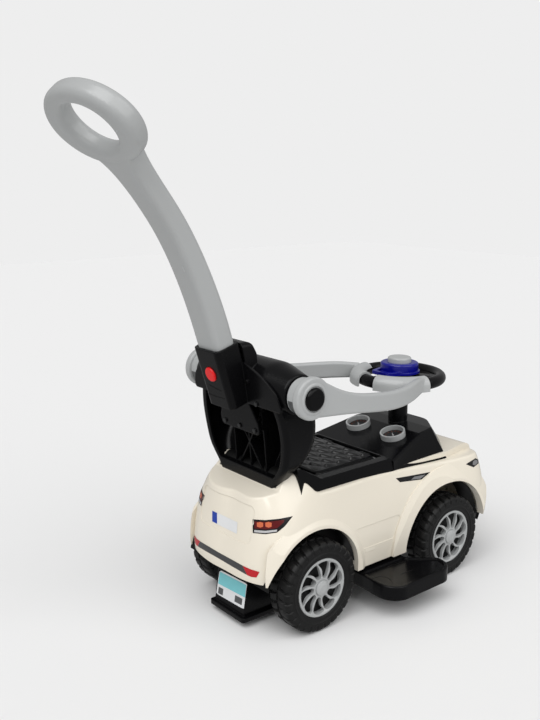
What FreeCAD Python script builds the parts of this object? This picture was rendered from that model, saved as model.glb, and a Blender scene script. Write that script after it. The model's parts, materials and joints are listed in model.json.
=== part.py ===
import FreeCAD, Part
import math
import os

V = FreeCAD.Vector

# Frame: +X is forward, +Y is the car's left, +Z is up, all in millimetres.
# Places are counted from the middle of the wheelbase on the ground. ORIGIN_X then moves the
# origin under the middle of the whole part, seen from above.
ORIGIN_X = -113.9

# Fits
RUN_CLEAR = 0.3
PIVOT_CLEAR = 0.25
SLIDE_CLEAR = 0.4
SEAT_GAP = 0.3

# Wheels
WHEELBASE = 334.0
WHEEL_R = 80.0
TYRE_WIDTH = 48.0
WHEEL_Y = 114.0
TYRE_SHOULDER_R = 9.0
RIM_R = 52.0
RIM_LIP = 4.0
RIM_FACE = 8.0
WEB_T = 5.0
WEB_Y = 9.0
HUB_R = 15.0
BARREL_WALL = 4.0
LUG_COUNT = 20
LUG_DEPTH = 4.0
LUG_GAP = 6.0
LUG_SLANT = 14.0
SPOKE_COUNT = 10
SPOKE_W = 4.0
SPOKE_SWEEP = 14.0
CAP_R = 14.0
CAP_RISE = 5.0
AXLE_R = 5.0
AXLE_END = 4.0
NUT_R = 8.0
NUT_T = 2.4

# Body shell
TAIL_X = -282.0
NOSE_X = 312.0
BODY_HALF_W = 127.0
BODY_WALL = 4.0
SILL_Z = 74.0
BUMPER_Z = 101.0
NOSE_LIP_Z = 96.0
BELT_Z = 241.0
HOOD_BEND = 50.0
HOOD_DROP = 50.0
DECK_X = -223.0
DECK_Z = 251.0
DECK_SLOPE = 0.29
DECK_R = 6.0
HAUNCH_X = -197.0
HAUNCH_Z = 284.0
HAUNCH_FOOT_X = -159.0
HAUNCH_R = 14.0
HAUNCH_FOOT_R = 18.0
BELT_R = 5.0
REAR_ARCH_R = 100.0
FRONT_ARCH_R = 109.0
REAR_LIP_Y = 125.0
FRONT_LIP_Y = 132.0
REAR_FLARE_W = 26.0
FRONT_FLARE_W = 34.0
FLARE_LIP = 6.0
FLARE_IN = 16.0
FLARE_RISE = 10.0
FLARE_R = 5.0
FLARE_PROUD = 6.0
PANEL_DEPTH = 0.9
DOOR_REAR_X = -76.0
DOOR_FRONT_X = 41.0
DOOR_LOW_Z = 111.0
DOOR_TOP_Z = 154.0
DOOR_R = 10.0
GATE_HALF_W = 72.0
GATE_LOW_Z = 164.0
GATE_TOP_Z = 228.0
GATE_R = 12.0
# height, how far the tail, the sides and the nose draw in at that height, and how full the tail's corners are
BODY_LEVELS = (
    (66.0, 17.0, 5.0, 14.0, 0.83),
    (120.0, 0.0, 1.0, 0.0, 0.83),
    (165.0, 6.0, 0.0, 4.0, 0.83),
    (205.0, 13.0, 3.0, 14.0, 0.8),
    (240.0, 20.0, 8.0, 30.0, 0.71),
    (292.0, 58.0, 24.0, 80.0, 0.66),
)
# x and z along the belt, where the body's top edge falls towards the nose
BELT_LINE = ((-90.0, 242.0), (31.0, 237.0), (181.0, 228.5), (262.0, 225.0), (332.0, 204.0))
BELT_STEP_Y = 106.0
HOOD_STEP_X = 300.0
HOOD_STEP_Y = 80.0

# Chassis
FLOOR_Z = 96.0
FLOOR_T = 6.0
FLOOR_HALF_W = 62.0
FLOOR_TAIL_IN = 20.0
FLOOR_NOSE_IN = 26.0
WAIST_X = 60.0
WAIST_HALF_W = 108.0
CARRIER_T = 16.0
CARRIER_Y = 70.0
CARRIER_DROP = 14.0
CARRIER_LENGTH = 44.0
TRAY_HALF_W = 95.0
TRAY_WALL = 4.0
SCREW_HEAD_R = 4.0
SCREW_HEAD_T = 2.5
SCREW_R = 2.0
SCREW_LENGTH = 10.0
SCREW_EDGE = 5.0
SPACER_R = 9.0
TAB_X = 34.0
TAB_HALF = 12.0
TAB_REACH = 26.0
TAB_T = 7.0

# Steering
STEER_X = 157.0
SHAFT_R = 6.0
SHAFT_LOW_Z = 56.0
CRANK = 14.5
KNUCKLE_ARM = 29.0
KINGPIN_Y = 70.0
KINGPIN_R = 4.0
KNUCKLE_R = 11.0
BRACKET_LOW_Z = 44.0
BRACKET_T = 6.0
BRACKET_HALF_X = 16.0
BRACKET_WALL = 6.0
ARM_Z = 57.0
ARM_T = 6.0
ARM_HALF_W = 7.0
LINK_PIN_R = 3.0
LINK_SLOT = 3.2
TIE_T = 6.0
TIE_HALF_W = 11.0
TIE_END = 12.0
RING_Z = 375.5
RING_R = 79.0
RING_TUBE = 11.5
WHEEL_HUB_R = 26.0
WHEEL_HUB_LOW_Z = 354.0
WHEEL_HUB_TOP_Z = 384.0
SPOKE_HALF_W = 10.0
SPOKE_T = 12.0
COVER_TOP_Z = 404.0
COVER_R = 37.0
COVER_FLANGE_R = 40.0
COVER_FLANGE_T = 4.0
COVER_WING_X = 56.0
COVER_WING_HALF_W = 20.0
COVER_WING_T = 7.0
COVER_WING_BAR = 6.0
HORN_R = 23.0
HORN_TOP_Z = 414.0
HORN_FLOOR_Z = 395.0
HORN_SPRING_T = 3.0
COLUMN_R = 19.0
COLUMN_TOP_Z = 350.0

# Cockpit
SURROUND_HALF_W = 111.0
SURROUND_LEAN = 6.0
SURROUND_TOP_Z = 260.0
SEAM_X = 30.0
SEAM_GAP = 1.0
OPEN_REAR_X = -138.0
OPEN_FRONT_X = 23.0
OPEN_HALF_W = 86.0
LEDGE_W = 6.0
LEDGE_T = 3.0
BIN_FLANGE_T = 2.0
BIN_FLANGE_W = 10.0
BIN_WALL = 2.5
BIN_FLOOR_Z = 108.0
LID_TOP_Z = 263.0
LID_EDGE_R = 8.0
LID_FRONT_X = 8.0
HINGE_X = 16.0
HINGE_Z = 253.5
HINGE_PIN_R = 2.5
HINGE_KNUCKLE_R = 5.5
HINGE_KNUCKLE_Y = 50.0
HINGE_KNUCKLE_LENGTH = 24.0
QUILT_PITCH = 24.0
QUILT_LEAN = 33.0
QUILT_GROOVE = 2.2
QUILT_MARGIN = 8.0
COWL_LOW_Z = 222.0
COWL_FRONT_X = 258.0
COWL_SIDE_X = 182.0
COWL_TOP_Z = 286.0
COWL_TOP_X = 164.0
COWL_TOP_FRONT_X = 204.0
COWL_NOSE_HALF_W = 34.0
# x, top z and top half width of the dash from the seam to its front
COWL_STATIONS = ((30.0, 257.0, 109.0), (126.0, 283.0, 86.0), (164.0, 286.0, 80.0), (258.0, 286.0, 80.0))
COWL_EDGE_R = 5.0
COWL_WALL = 3.5
GAUGE_X = 95.0
GAUGE_Y = 46.5
GAUGE_R = 24.0
GAUGE_RISE = 11.0
GAUGE_WALL = 3.0
DIAL_T = 2.0

# Backrest and guard arms
BACK_WALL = 4.0
BACK_REAR_R = 8.0
BACK_FRONT_R = 16.0
BACK_LEAN = 10.0
BACK_FOOT_H = 24.0
BACK_RIM = 15.0
BACK_RIM_T = 5.0
BACK_OPEN = 30.0
# height, rear x, front x and half width
BACK_LEVELS = (
    (246.0, -223.0, -196.0, 74.0),
    (268.0, -223.5, -192.0, 88.0),
    (290.0, -225.0, -184.0, 105.0),
    (314.0, -227.0, -169.0, 113.0),
    (342.0, -230.3, -160.5, 116.5),
    (382.0, -237.3, -159.0, 112.0),
    (430.0, -245.8, -172.0, 95.0),
)
PIVOT_X = -207.0
PIVOT_Z = 420.0
SHOULDER_Y = 122.0
SHOULDER_BARREL_R = 33.0
SHOULDER_R = 46.0
SHOULDER_FLAT_Y = 70.0
SHOULDER_ROUND = 60.0
HUMP_TOP_Z = 497.0
HUMP_FRONT_X = -228.0
HUMP_HALF_W = 42.0
HUMP_TOP_HALF_W = 36.0
HUMP_R = 10.0
RIB_T = 2.5
RIB_Y = 42.0
RIB_CROSS_Z = 315.0
RIB_LEAN = 56.0
RIB_RECESS = 12.0
PIVOT_SEAT = 10.0
PLUG_R = 6.0
PLUG_LENGTH = 8.0
ARM_BARREL_R = 30.0
PIVOT_PIN_R = 12.0
ARM_FACE_Y = 156.0
ARM_HUB_Y = 125.0
ARM_HUB_R = 35.0
ARM_CAP_R = 19.0
ARM_CAP_RISE = 6.0
ARM_THICK = 14.0
# x, middle y, middle z, heading in degrees (0 is straight ahead, 90 is straight inward), height
ARM_STATIONS = (
    (-196.0, 149.0, 418.0, 0.0, 62.0),
    (-160.0, 149.0, 408.0, 0.0, 48.0),
    (-120.0, 148.5, 398.0, 2.0, 36.0),
    (-60.0, 145.0, 388.0, 5.0, 33.0),
    (10.0, 134.0, 381.0, 14.0, 33.0),
    (64.0, 115.0, 380.0, 28.0, 33.0),
    (98.0, 97.5, 379.0, 28.0, 32.0),
    (128.0, 82.0, 377.0, 27.0, 28.0),
)
SADDLE_LOW_Z = 364.0
SADDLE_WALL = 4.0
SADDLE_PLAY = 2.0
SADDLE_START = 12.0
SADDLE_END = 80.0

# Push handle
HANDLE_LEAN = 17.5
COLLAR_TOP_X = -283.0
COLLAR_TOP_Z = 493.0
COLLAR_LENGTH = 104.0
STEM_W = 60.0
STEM_D = 38.0
STEM_R = 10.0
STEM_INSERT = 95.0
COLLAR_WALL = 3.5
COLLAR_REAR_WALL = 5.0
WING_T = 4.0
WING_LOW_Z = 394.0
# half outline of the collar's wings: y, z and corner radius, from the tip inwards
WING_OUTLINE = ((121.0, 394.0, 6.0), (112.0, 424.0, 30.0), (84.0, 446.0, 60.0), (38.0, 466.0, 8.0))
WING_SCREWS = ((40.0, 4.0), (57.0, -32.0))
FLANGE_LOW_Z = 340.0
FLANGE_HALF_W = 52.0
FLANGE_SCREW_Y = 41.0
FLANGE_SCREW_UP = -83.0
FLANGE_RISE = 18.0
BOSS_R = 4.5
BUTTON_DOWN = 43.0
BUTTON_R = 12.8
BUTTON_FLANGE_R = 15.5
BUTTON_FLANGE_T = 1.6
BUTTON_RISE = 3.5
BUTTON_TRAVEL = 2.5
GROOVE_HALF_W = 17.0
GROOVE_SPARE = 0.8
LEAF_LENGTH = 52.0
LEAF_HALF_W = 10.0
LEAF_T = 0.8
# stem centre line above the collar: x, z, lean in degrees, and its depth and width against the straight part
STEM_STATIONS = (
    (-300.0, 546.0, 18.0, 1.0, 1.0),
    (-330.0, 620.0, 24.0, 0.97, 0.97),
    (-372.0, 697.0, 32.5, 0.94, 0.95),
    (-412.0, 752.0, 38.5, 0.92, 1.0),
    (-436.0, 782.0, 42.0, 0.89, 1.3),
    (-452.0, 800.0, 43.0, 0.85, 1.85),
)
GRIP_X = -485.3
GRIP_Z = 835.0
GRIP_LEAN = 43.0
GRIP_HALF_W = 105.0
GRIP_HALF_L = 69.0
GRIP_HOLE_HALF_W = 63.0
GRIP_HOLE_HALF_L = 41.0
GRIP_T = 34.0
GRIP_EDGE_R = 12.0

# Under the body
STOP_REAR_X = -262.0
STOP_FRONT_X = -196.0
STOP_RAKE = 10.0
STOP_HALF_W = 42.0
STOP_WALL = 3.0
STOP_FOOT_Z = 11.0
STOP_FOOT_T = 8.0
STOP_FOOT_RIM = 7.0
BOARD_TOP_Z = 66.0
BOARD_T = 26.0
BOARD_NECK_HALF = 57.0
BOARD_ROOT_Y = 70.0
BOARD_FLARE_Y = 124.0
BOARD_WIDE_Y = 152.0
BOARD_FRONT_Y = 161.0
BOARD_END_Y = 203.0
BOARD_REAR_X = -60.0
BOARD_FRONT_X = 102.0
BOARD_CORNER_R = 34.0
BOARD_WALL = 3.0
BOARD_RECESS = 2.5
BOARD_RIM = 7.0
VALANCE_DROP = 16.0
VALANCE_X = 232.0

REAR_X = -WHEELBASE / 2
FRONT_X = WHEELBASE / 2
HALF_TYRE = TYRE_WIDTH / 2
FLOOR_TAIL_X = TAIL_X + FLOOR_TAIL_IN
FLOOR_NOSE_X = NOSE_X - FLOOR_NOSE_IN
AXLE_BORE_R = AXLE_R + RUN_CLEAR


def box(x0, x1, y0, y1, z0, z1):
    return Part.makeBox(x1 - x0, y1 - y0, z1 - z0, V(x0, y0, z0))


def rod_y(x, z, radius, y0, y1):
    return Part.makeCylinder(radius, y1 - y0, V(x, y0, z), V(0, 1, 0))


def rod_z(x, y, radius, z0, z1):
    return Part.makeCylinder(radius, z1 - z0, V(x, y, z0))


def rounded_wire(corners, place):
    """Closed outline of straight runs and corner arcs. corners holds (a, b, radius)."""
    points = [V(a, b, 0) for a, b, radius in corners]
    edges = []
    ends = []
    for i, corner in enumerate(points):
        radius = corners[i][2]
        if radius == 0:
            ends.append((corner, corner, corner, 0))
            continue
        back = (points[i - 1] - corner).normalize()
        ahead = (points[(i + 1) % len(points)] - corner).normalize()
        half = back.getAngle(ahead) / 2
        reach = radius / math.tan(half)
        start = corner + back * reach
        end = corner + ahead * reach
        middle = (back + ahead).normalize()
        top = corner + middle * (radius / math.sin(half) - radius)
        ends.append((start, top, end, radius))
    for i, (start, top, end, radius) in enumerate(ends):
        before = ends[i - 1][2]
        if (start - before).Length > 1e-6:
            edges.append(Part.makeLine(place(before), place(start)))
        if radius > 0:
            edges.append(Part.Arc(place(start), place(top), place(end)).toShape())
    return Part.Wire(edges)


def prism_xz(corners, y0, y1):
    wire = rounded_wire(corners, lambda p: V(p.x, y0, p.y))
    return Part.Face(wire).extrude(V(0, y1 - y0, 0))


def prism_xy(corners, z0, z1):
    wire = rounded_wire(corners, lambda p: V(p.x, p.y, z0))
    return Part.Face(wire).extrude(V(0, 0, z1 - z0))


def prism_yz(corners, x0, x1):
    wire = rounded_wire(corners, lambda p: V(x0, p.x, p.y))
    return Part.Face(wire).extrude(V(x1 - x0, 0, 0))


def revolve_y(corners):
    wire = rounded_wire(corners, lambda p: V(p.x, p.y, 0))
    return Part.Face(wire).revolve(V(0, 0, 0), V(0, 1, 0), 360)


def mirrored(shape):
    return shape.mirror(V(0, 0, 0), V(0, 1, 0))


def moved(shape, x, y, z):
    copy = shape.copy()
    copy.translate(V(x, y, z))
    return copy


def turned(shape, centre, axis, degrees):
    copy = shape.copy()
    copy.rotate(centre, axis, degrees)
    return copy


def fused(shapes):
    return shapes[0].fuse(shapes[1:]).removeSplitter()


# Wheels, made with the axle along Y and the outer face towards +Y


def make_tyre():
    h = HALF_TYRE
    seat = RIM_R + SEAT_GAP
    barrel = RIM_R - BARREL_WALL
    web_in = WEB_Y - WEB_T
    profile = (
        (AXLE_BORE_R, -h, 0),
        (HUB_R, -h, 0),
        (HUB_R, web_in, 2),
        (barrel, web_in, 2),
        (barrel, -h + 2, 0),
        (WHEEL_R - 2, -h, TYRE_SHOULDER_R),
        (WHEEL_R, 0, 0),
        (WHEEL_R - 2, h, TYRE_SHOULDER_R),
        (seat, h, 1),
        (seat, WEB_Y, 0),
        (AXLE_BORE_R, WEB_Y, 0),
    )
    tyre = revolve_y(profile)
    step = 360 / LUG_COUNT
    cutters = []
    for side in (1, -1):
        groove = box(-LUG_GAP / 2, LUG_GAP / 2, -2, h + 2, WHEEL_R - LUG_DEPTH, WHEEL_R + 4)
        groove = turned(groove, V(0, 0, 0), V(0, 0, 1), -side * LUG_SLANT)
        if side < 0:
            groove = turned(groove, V(0, 0, 0), V(0, 0, 1), 180)
        for i in range(LUG_COUNT):
            angle = (i + (0 if side > 0 else 0.5)) * step
            cutters.append(turned(groove, V(0, 0, 0), V(0, 1, 0), angle))
    return tyre.cut(cutters)


def spoke_window(start, end, y):
    """The opening between two spokes, which sweep round more and more towards the rim."""
    ends = (start + 2, end - 3)
    radii = [ends[0] + (ends[1] - ends[0]) * i / 3 for i in range(4)]
    half_step = math.pi / SPOKE_COUNT

    def point(radius, side):
        sweep = math.radians(SPOKE_SWEEP) * ((radius - start) / (end - start)) ** 2
        angle = sweep + side * (half_step - SPOKE_W / 2 / radius)
        return V(radius * math.cos(angle), y, radius * math.sin(angle))

    points = [point(start, 0)] + [point(r, 1) for r in radii]
    points += [point(end, 0)] + [point(r, -1) for r in reversed(radii)]
    curve = Part.BSplineCurve()
    curve.interpolate(points, PeriodicFlag=True)
    return Part.Wire([curve.toShape()])


def make_rim():
    face = HALF_TYRE - 1
    low = face - RIM_FACE
    profile = (
        (NUT_R + RUN_CLEAR, WEB_Y, 0),
        (RIM_R, WEB_Y, 0),
        (RIM_R, face, 2),
        (RIM_R - RIM_LIP, face, 2),
        (RIM_R - RIM_LIP - 4, face - 3, 3),
        (CAP_R, face - 1, 0),
        (CAP_R, low + 2, 0),
        (NUT_R + RUN_CLEAR, low + 2, 0),
    )
    rim = revolve_y(profile)
    hollow_out = RIM_R - RIM_LIP
    hollow_in = CAP_R + 1
    hollow = Part.makeCylinder(hollow_out, low - WEB_Y, V(0, WEB_Y, 0), V(0, 1, 0))
    core = Part.makeCylinder(hollow_in, low - WEB_Y, V(0, WEB_Y, 0), V(0, 1, 0))
    rim = rim.cut(hollow.cut(core))
    step = 360 / SPOKE_COUNT
    cutter = Part.Face(spoke_window(CAP_R + 3, hollow_out - 1, low - 2)).extrude(V(0, RIM_FACE + 6, 0))
    windows = [turned(cutter, V(0, 0, 0), V(0, 1, 0), i * step) for i in range(SPOKE_COUNT)]
    return rim.cut(windows)


def make_hub_cap():
    seat = HALF_TYRE - 1 - RIM_FACE + 2
    face = HALF_TYRE - 2
    profile = (
        (0, seat, 0),
        (CAP_R - SEAT_GAP, seat, 0),
        (CAP_R - SEAT_GAP, face + CAP_RISE / 2, 2),
        (CAP_R / 2, face + CAP_RISE, 3),
        (0, face + CAP_RISE, 0),
    )
    return revolve_y(profile)


def make_axle_nut():
    start = WEB_Y + SEAT_GAP
    ring = Part.makeCylinder(NUT_R, NUT_T, V(0, start, 0), V(0, 1, 0))
    return ring.cut(Part.makeCylinder(AXLE_R, NUT_T, V(0, start, 0), V(0, 1, 0)))


def at_wheel(shape, x, side):
    if side > 0:
        return moved(shape, x, WHEEL_Y, WHEEL_R)
    return moved(mirrored(shape), x, -WHEEL_Y, WHEEL_R)


# Body shell


def body_section(level, inset):
    z, tail_in, side_in, nose_in, corner = level
    tail = TAIL_X + tail_in + inset
    nose = NOSE_X - nose_in - inset
    w = BODY_HALF_W - side_in - inset
    half = (
        (tail, 0),
        (tail + 3, 0.50 * w),
        (tail + 20, corner * w),
        (REAR_X, 0.965 * w),
        (0, 0.95 * w),
        (FRONT_X, w),
        (nose - 22, 0.89 * w),
        (nose - 6, 0.55 * w),
        (nose, 0),
    )
    left = [V(x, y, z) for x, y in half]
    right = [V(x, -y, z) for x, y in half[-2:0:-1]]
    points = left + right
    reach = [0]
    for i, point in enumerate(points):
        ahead = points[(i + 1) % len(points)]
        reach.append(reach[-1] + (ahead - point).Length)
    curve = Part.BSplineCurve()
    curve.interpolate(points, PeriodicFlag=True, Parameters=reach)
    return Part.Wire([curve.toShape()])


def body_loft(inset):
    return Part.makeLoft([body_section(level, inset) for level in BODY_LEVELS], True, False)


def body_profile(inset, low):
    """Side view of the body, cut out of a block wider than the body."""
    top = -inset
    rear = TAIL_X - 20
    front = NOSE_X + 20
    deck_end = DECK_Z - DECK_SLOPE * (DECK_X - rear)
    corners = (
        (rear, BUMPER_Z + low, 0),
        (rear, deck_end + top, 0),
        (DECK_X, DECK_Z + top, DECK_R),
        (HAUNCH_X, HAUNCH_Z + top, HAUNCH_R),
        (HAUNCH_FOOT_X, BELT_Z + top, HAUNCH_FOOT_R),
        (NOSE_X - HOOD_BEND, BELT_Z + top, 60),
        (front, BELT_Z - HOOD_DROP + top, 0),
        (front, NOSE_LIP_Z + low, 0),
        (FRONT_X, NOSE_LIP_Z + low, 0),
        (FRONT_X, SILL_Z + low, 0),
        (REAR_X, SILL_Z + low, 0),
        (REAR_X, BUMPER_Z + low, 0),
    )
    return prism_xz(corners, -BODY_HALF_W - 30, BODY_HALF_W + 30)


def belt_cutters(inset):
    """What the body's top loses along each side, where the belt falls below the deck under the seat."""
    line = Part.BSplineCurve()
    line.interpolate([V(x, 0, z - inset) for x, z in BELT_LINE])
    start, end = line.StartPoint, line.EndPoint
    top = HAUNCH_Z + BELT_R
    wide = 2 * BODY_HALF_W
    rest = Part.makePolygon([end, V(end.x, 0, top), V(start.x, 0, top), start])
    slab = Part.Face(Part.Wire([line.toShape()] + rest.Edges)).extrude(V(0, wide, 0))
    plan = (
        (start.x, BELT_STEP_Y - inset, 0),
        (COWL_SIDE_X, BELT_STEP_Y - inset, 0),
        (HOOD_STEP_X, HOOD_STEP_Y - inset, 0),
        (end.x, HOOD_STEP_Y - inset, 0),
        (end.x, wide, 0),
        (start.x, wide, 0),
    )
    left = slab.common(prism_xy(plan, SILL_Z, top))
    return [left, mirrored(left)]


def make_body_outer():
    block = body_loft(0).common(body_profile(0, 0)).cut(belt_cutters(0))
    soft = []
    for edge in block.Edges:
        span = edge.BoundBox
        high = span.ZMin > GATE_LOW_Z and span.XLength > 4 * BELT_R
        side = max(abs(span.YMin), abs(span.YMax)) > BELT_STEP_Y + 4 and span.YLength < BODY_HALF_W / 2
        belt = side and span.ZMax < BELT_Z + 1 and span.XLength > 10 * BELT_R
        deck = span.XMax < DECK_X and span.ZMin > BELT_Z - 2 * BELT_R
        if high and (belt or deck):
            soft.append(edge)
    return block.makeFillet(BELT_R, soft)


def arch_bores(extra):
    """The round wheel openings, from just outside the chassis floor outwards."""
    bores = []
    y0 = FLOOR_HALF_W + 4
    y1 = BODY_HALF_W + 40
    for x, radius in ((REAR_X, REAR_ARCH_R), (FRONT_X, FRONT_ARCH_R)):
        bore = rod_y(x, WHEEL_R, radius + extra, y0, y1)
        bores.append(bore)
        bores.append(mirrored(bore))
    return bores


def arch_flare(x, radius, width, lip_y):
    """A wide soft flare round a wheel opening that stays close to the body's side."""
    rise_y = lip_y - FLARE_RISE
    base = rod_y(x, WHEEL_R, radius + width, lip_y - FLARE_IN, rise_y)
    cone = Part.makeCone(radius + width, radius + FLARE_LIP, FLARE_RISE, V(x, rise_y, WHEEL_R), V(0, 1, 0))
    rim_edges = [e for e in cone.Edges if e.Closed and abs(e.CenterOfMass.y - lip_y) < 0.1]
    cone = cone.makeFillet(FLARE_R, rim_edges)
    return fused([base, cone]).common(body_loft(-FLARE_PROUD))


def panel_cutters():
    """The shallow panels pressed into the body: doors and tailgate."""
    below = body_loft(PANEL_DEPTH)
    wide = BODY_HALF_W + FLARE_PROUD
    door = prism_xz(
        (
            (DOOR_REAR_X, DOOR_LOW_Z, DOOR_R / 4),
            (DOOR_FRONT_X, DOOR_LOW_Z, DOOR_R / 4),
            (DOOR_FRONT_X, DOOR_TOP_Z, DOOR_R),
            (DOOR_REAR_X, DOOR_TOP_Z, DOOR_R),
        ),
        -wide,
        wide,
    )
    gate = prism_yz(
        (
            (-GATE_HALF_W, GATE_LOW_Z, GATE_R),
            (GATE_HALF_W, GATE_LOW_Z, GATE_R),
            (GATE_HALF_W, GATE_TOP_Z, GATE_R),
            (-GATE_HALF_W, GATE_TOP_Z, GATE_R),
        ),
        TAIL_X - FLARE_IN,
        REAR_X,
    )
    return [door.cut(below), gate.cut(below)]


def screw_tabs():
    """Ledges inside the body that stand on the chassis floor, each with its screw's place."""
    top = FLOOR_Z + FLOOR_T
    w = BODY_HALF_W * 0.95
    tabs = []
    for x in (-TAB_X, TAB_X):
        tab = box(x - TAB_HALF, x + TAB_HALF, w - TAB_REACH, w - BODY_WALL / 2, top, top + TAB_T)
        tabs.append(tab)
        tabs.append(mirrored(tab))
    ends = [
        box(TAIL_X - TAB_HALF, FLOOR_TAIL_X + TAB_HALF, -TAB_HALF, TAB_HALF, top, top + TAB_T),
        box(FLOOR_NOSE_X - TAB_HALF, NOSE_X + TAB_HALF, -TAB_HALF, TAB_HALF, top, top + TAB_T),
    ]
    half_wall = body_loft(BODY_WALL / 2)
    return tabs + [end.common(half_wall) for end in ends]


def chassis_screw_places():
    side_y = WAIST_HALF_W - SCREW_EDGE
    places = [(x, y) for x in (-TAB_X, TAB_X) for y in (-side_y, side_y)]
    places.append((FLOOR_TAIL_X + SCREW_EDGE, 0))
    places.append((FLOOR_NOSE_X - SCREW_EDGE, 0))
    return places


def make_body(outer):
    cavity = body_loft(BODY_WALL).common(body_profile(BODY_WALL, -60)).cut(belt_cutters(BODY_WALL))
    shell = outer.cut(cavity)
    shell = shell.cut(panel_cutters())
    limit = body_profile(0, 0)
    added = []
    arches = (
        (REAR_X, REAR_ARCH_R, REAR_FLARE_W, REAR_LIP_Y),
        (FRONT_X, FRONT_ARCH_R, FRONT_FLARE_W, FRONT_LIP_Y),
    )
    for arch in arches:
        flare = arch_flare(*arch).common(limit)
        added.append(flare)
        added.append(mirrored(flare))
    shell = shell.fuse(added + screw_tabs())
    cuts = arch_bores(0)
    hole = OPEN_HALF_W + BIN_FLANGE_W - 4
    cuts.append(box(OPEN_REAR_X - 4, OPEN_FRONT_X, -hole, hole, BELT_Z - 20, BELT_Z + 20))
    cuts.append(rod_z(STEER_X, 0, SHAFT_R + 4, BELT_Z - 20, BELT_Z + 20))
    top = FLOOR_Z + FLOOR_T
    cuts += [rod_z(x, y, SCREW_R, top - 1, top + TAB_T - 1) for x, y in chassis_screw_places()]
    return shell.cut(cuts)


# Chassis and what hangs under it


def make_chassis():
    top = FLOOR_Z + FLOOR_T
    carrier_out = CARRIER_Y + CARRIER_T / 2
    half = CARRIER_LENGTH / 2
    ear = KINGPIN_Y + 12
    low_in = KINGPIN_Y - 20
    tray_x = BOARD_NECK_HALF + SEAT_GAP + TRAY_WALL
    tray_low = BOARD_TOP_Z - BOARD_T - SEAT_GAP - TRAY_WALL
    solids = [
        box(FLOOR_TAIL_X, FLOOR_NOSE_X, -FLOOR_HALF_W, FLOOR_HALF_W, FLOOR_Z, top),
        box(-WAIST_X, WAIST_X, -WAIST_HALF_W, WAIST_HALF_W, FLOOR_Z, top),
        box(REAR_X - half, REAR_X + half, -carrier_out, carrier_out, FLOOR_Z, top),
        box(FRONT_X - BRACKET_HALF_X, FRONT_X + BRACKET_HALF_X, -ear, ear, FLOOR_Z, top),
        box(-tray_x, tray_x, -TRAY_HALF_W, TRAY_HALF_W, tray_low, FLOOR_Z),
    ]
    bracket_top = BRACKET_LOW_Z + BRACKET_T
    for side in (1, -1):
        cheek = box(REAR_X - half, REAR_X + half, carrier_out - CARRIER_T, carrier_out,
                    WHEEL_R - CARRIER_DROP, FLOOR_Z)
        plate = box(FRONT_X - BRACKET_HALF_X, FRONT_X + BRACKET_HALF_X, low_in, ear,
                    BRACKET_LOW_Z, bracket_top)
        wall = box(FRONT_X - BRACKET_HALF_X, FRONT_X + BRACKET_HALF_X, low_in, low_in + BRACKET_WALL,
                   bracket_top, FLOOR_Z)
        for piece in (cheek, plate, wall):
            solids.append(piece if side > 0 else mirrored(piece))
    body = fused(solids)
    neck = BOARD_NECK_HALF + SEAT_GAP
    slot_low = BOARD_TOP_Z - BOARD_T - SEAT_GAP
    slot_top = BOARD_TOP_Z + SEAT_GAP
    core = BOARD_ROOT_Y - SEAT_GAP
    inner = tray_x - TRAY_WALL
    cuts = [
        rod_y(REAR_X, WHEEL_R, AXLE_R, -carrier_out - 1, carrier_out + 1),
        rod_z(STEER_X, 0, SHAFT_R + PIVOT_CLEAR, FLOOR_Z - 1, top + 1),
        box(-inner, inner, -core + TRAY_WALL, core - TRAY_WALL, tray_low + TRAY_WALL, FLOOR_Z - TRAY_WALL),
        box(-neck, neck, core, TRAY_HALF_W + 1, slot_low, slot_top),
        box(-neck, neck, -TRAY_HALF_W - 1, -core, slot_low, slot_top),
    ]
    for y in (-KINGPIN_Y, KINGPIN_Y):
        cuts.append(rod_z(FRONT_X, y, KINGPIN_R, BRACKET_LOW_Z - 1, top + 1))
    cuts += [rod_z(x, y, SCREW_R, FLOOR_Z - 1, top + 1) for x, y in chassis_screw_places()]
    return body.cut(cuts)


def make_chassis_screws():
    screws = []
    top = FLOOR_Z + FLOOR_T + TAB_T - 2
    for x, y in chassis_screw_places():
        head = rod_z(x, y, SCREW_HEAD_R, FLOOR_Z - SCREW_HEAD_T, FLOOR_Z)
        screws.append(head.fuse(rod_z(x, y, SCREW_R, FLOOR_Z, top)).removeSplitter())
    return Part.makeCompound(screws)


def make_rear_stop():
    foot_top = STOP_FOOT_Z + STOP_FOOT_T
    rear_top = STOP_REAR_X + STOP_RAKE

    def block(inset, top):
        corners = (
            (rear_top + inset, top, 0),
            (STOP_FRONT_X - inset, top, 0),
            (STOP_FRONT_X - inset, foot_top, 0),
            (STOP_REAR_X + inset, foot_top, 0),
        )
        return prism_xz(corners, -STOP_HALF_W + inset, STOP_HALF_W - inset)

    rim = STOP_FOOT_RIM
    foot = (
        (STOP_REAR_X - rim, -STOP_HALF_W - rim, 5),
        (STOP_FRONT_X + rim, -STOP_HALF_W - rim, 5),
        (STOP_FRONT_X + rim, STOP_HALF_W + rim, 5),
        (STOP_REAR_X - rim, STOP_HALF_W + rim, 5),
    )
    shell = block(0, FLOOR_Z).cut(block(STOP_WALL, FLOOR_Z + 1))
    return fused([shell, prism_xy(foot, STOP_FOOT_Z, foot_top)])


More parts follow.
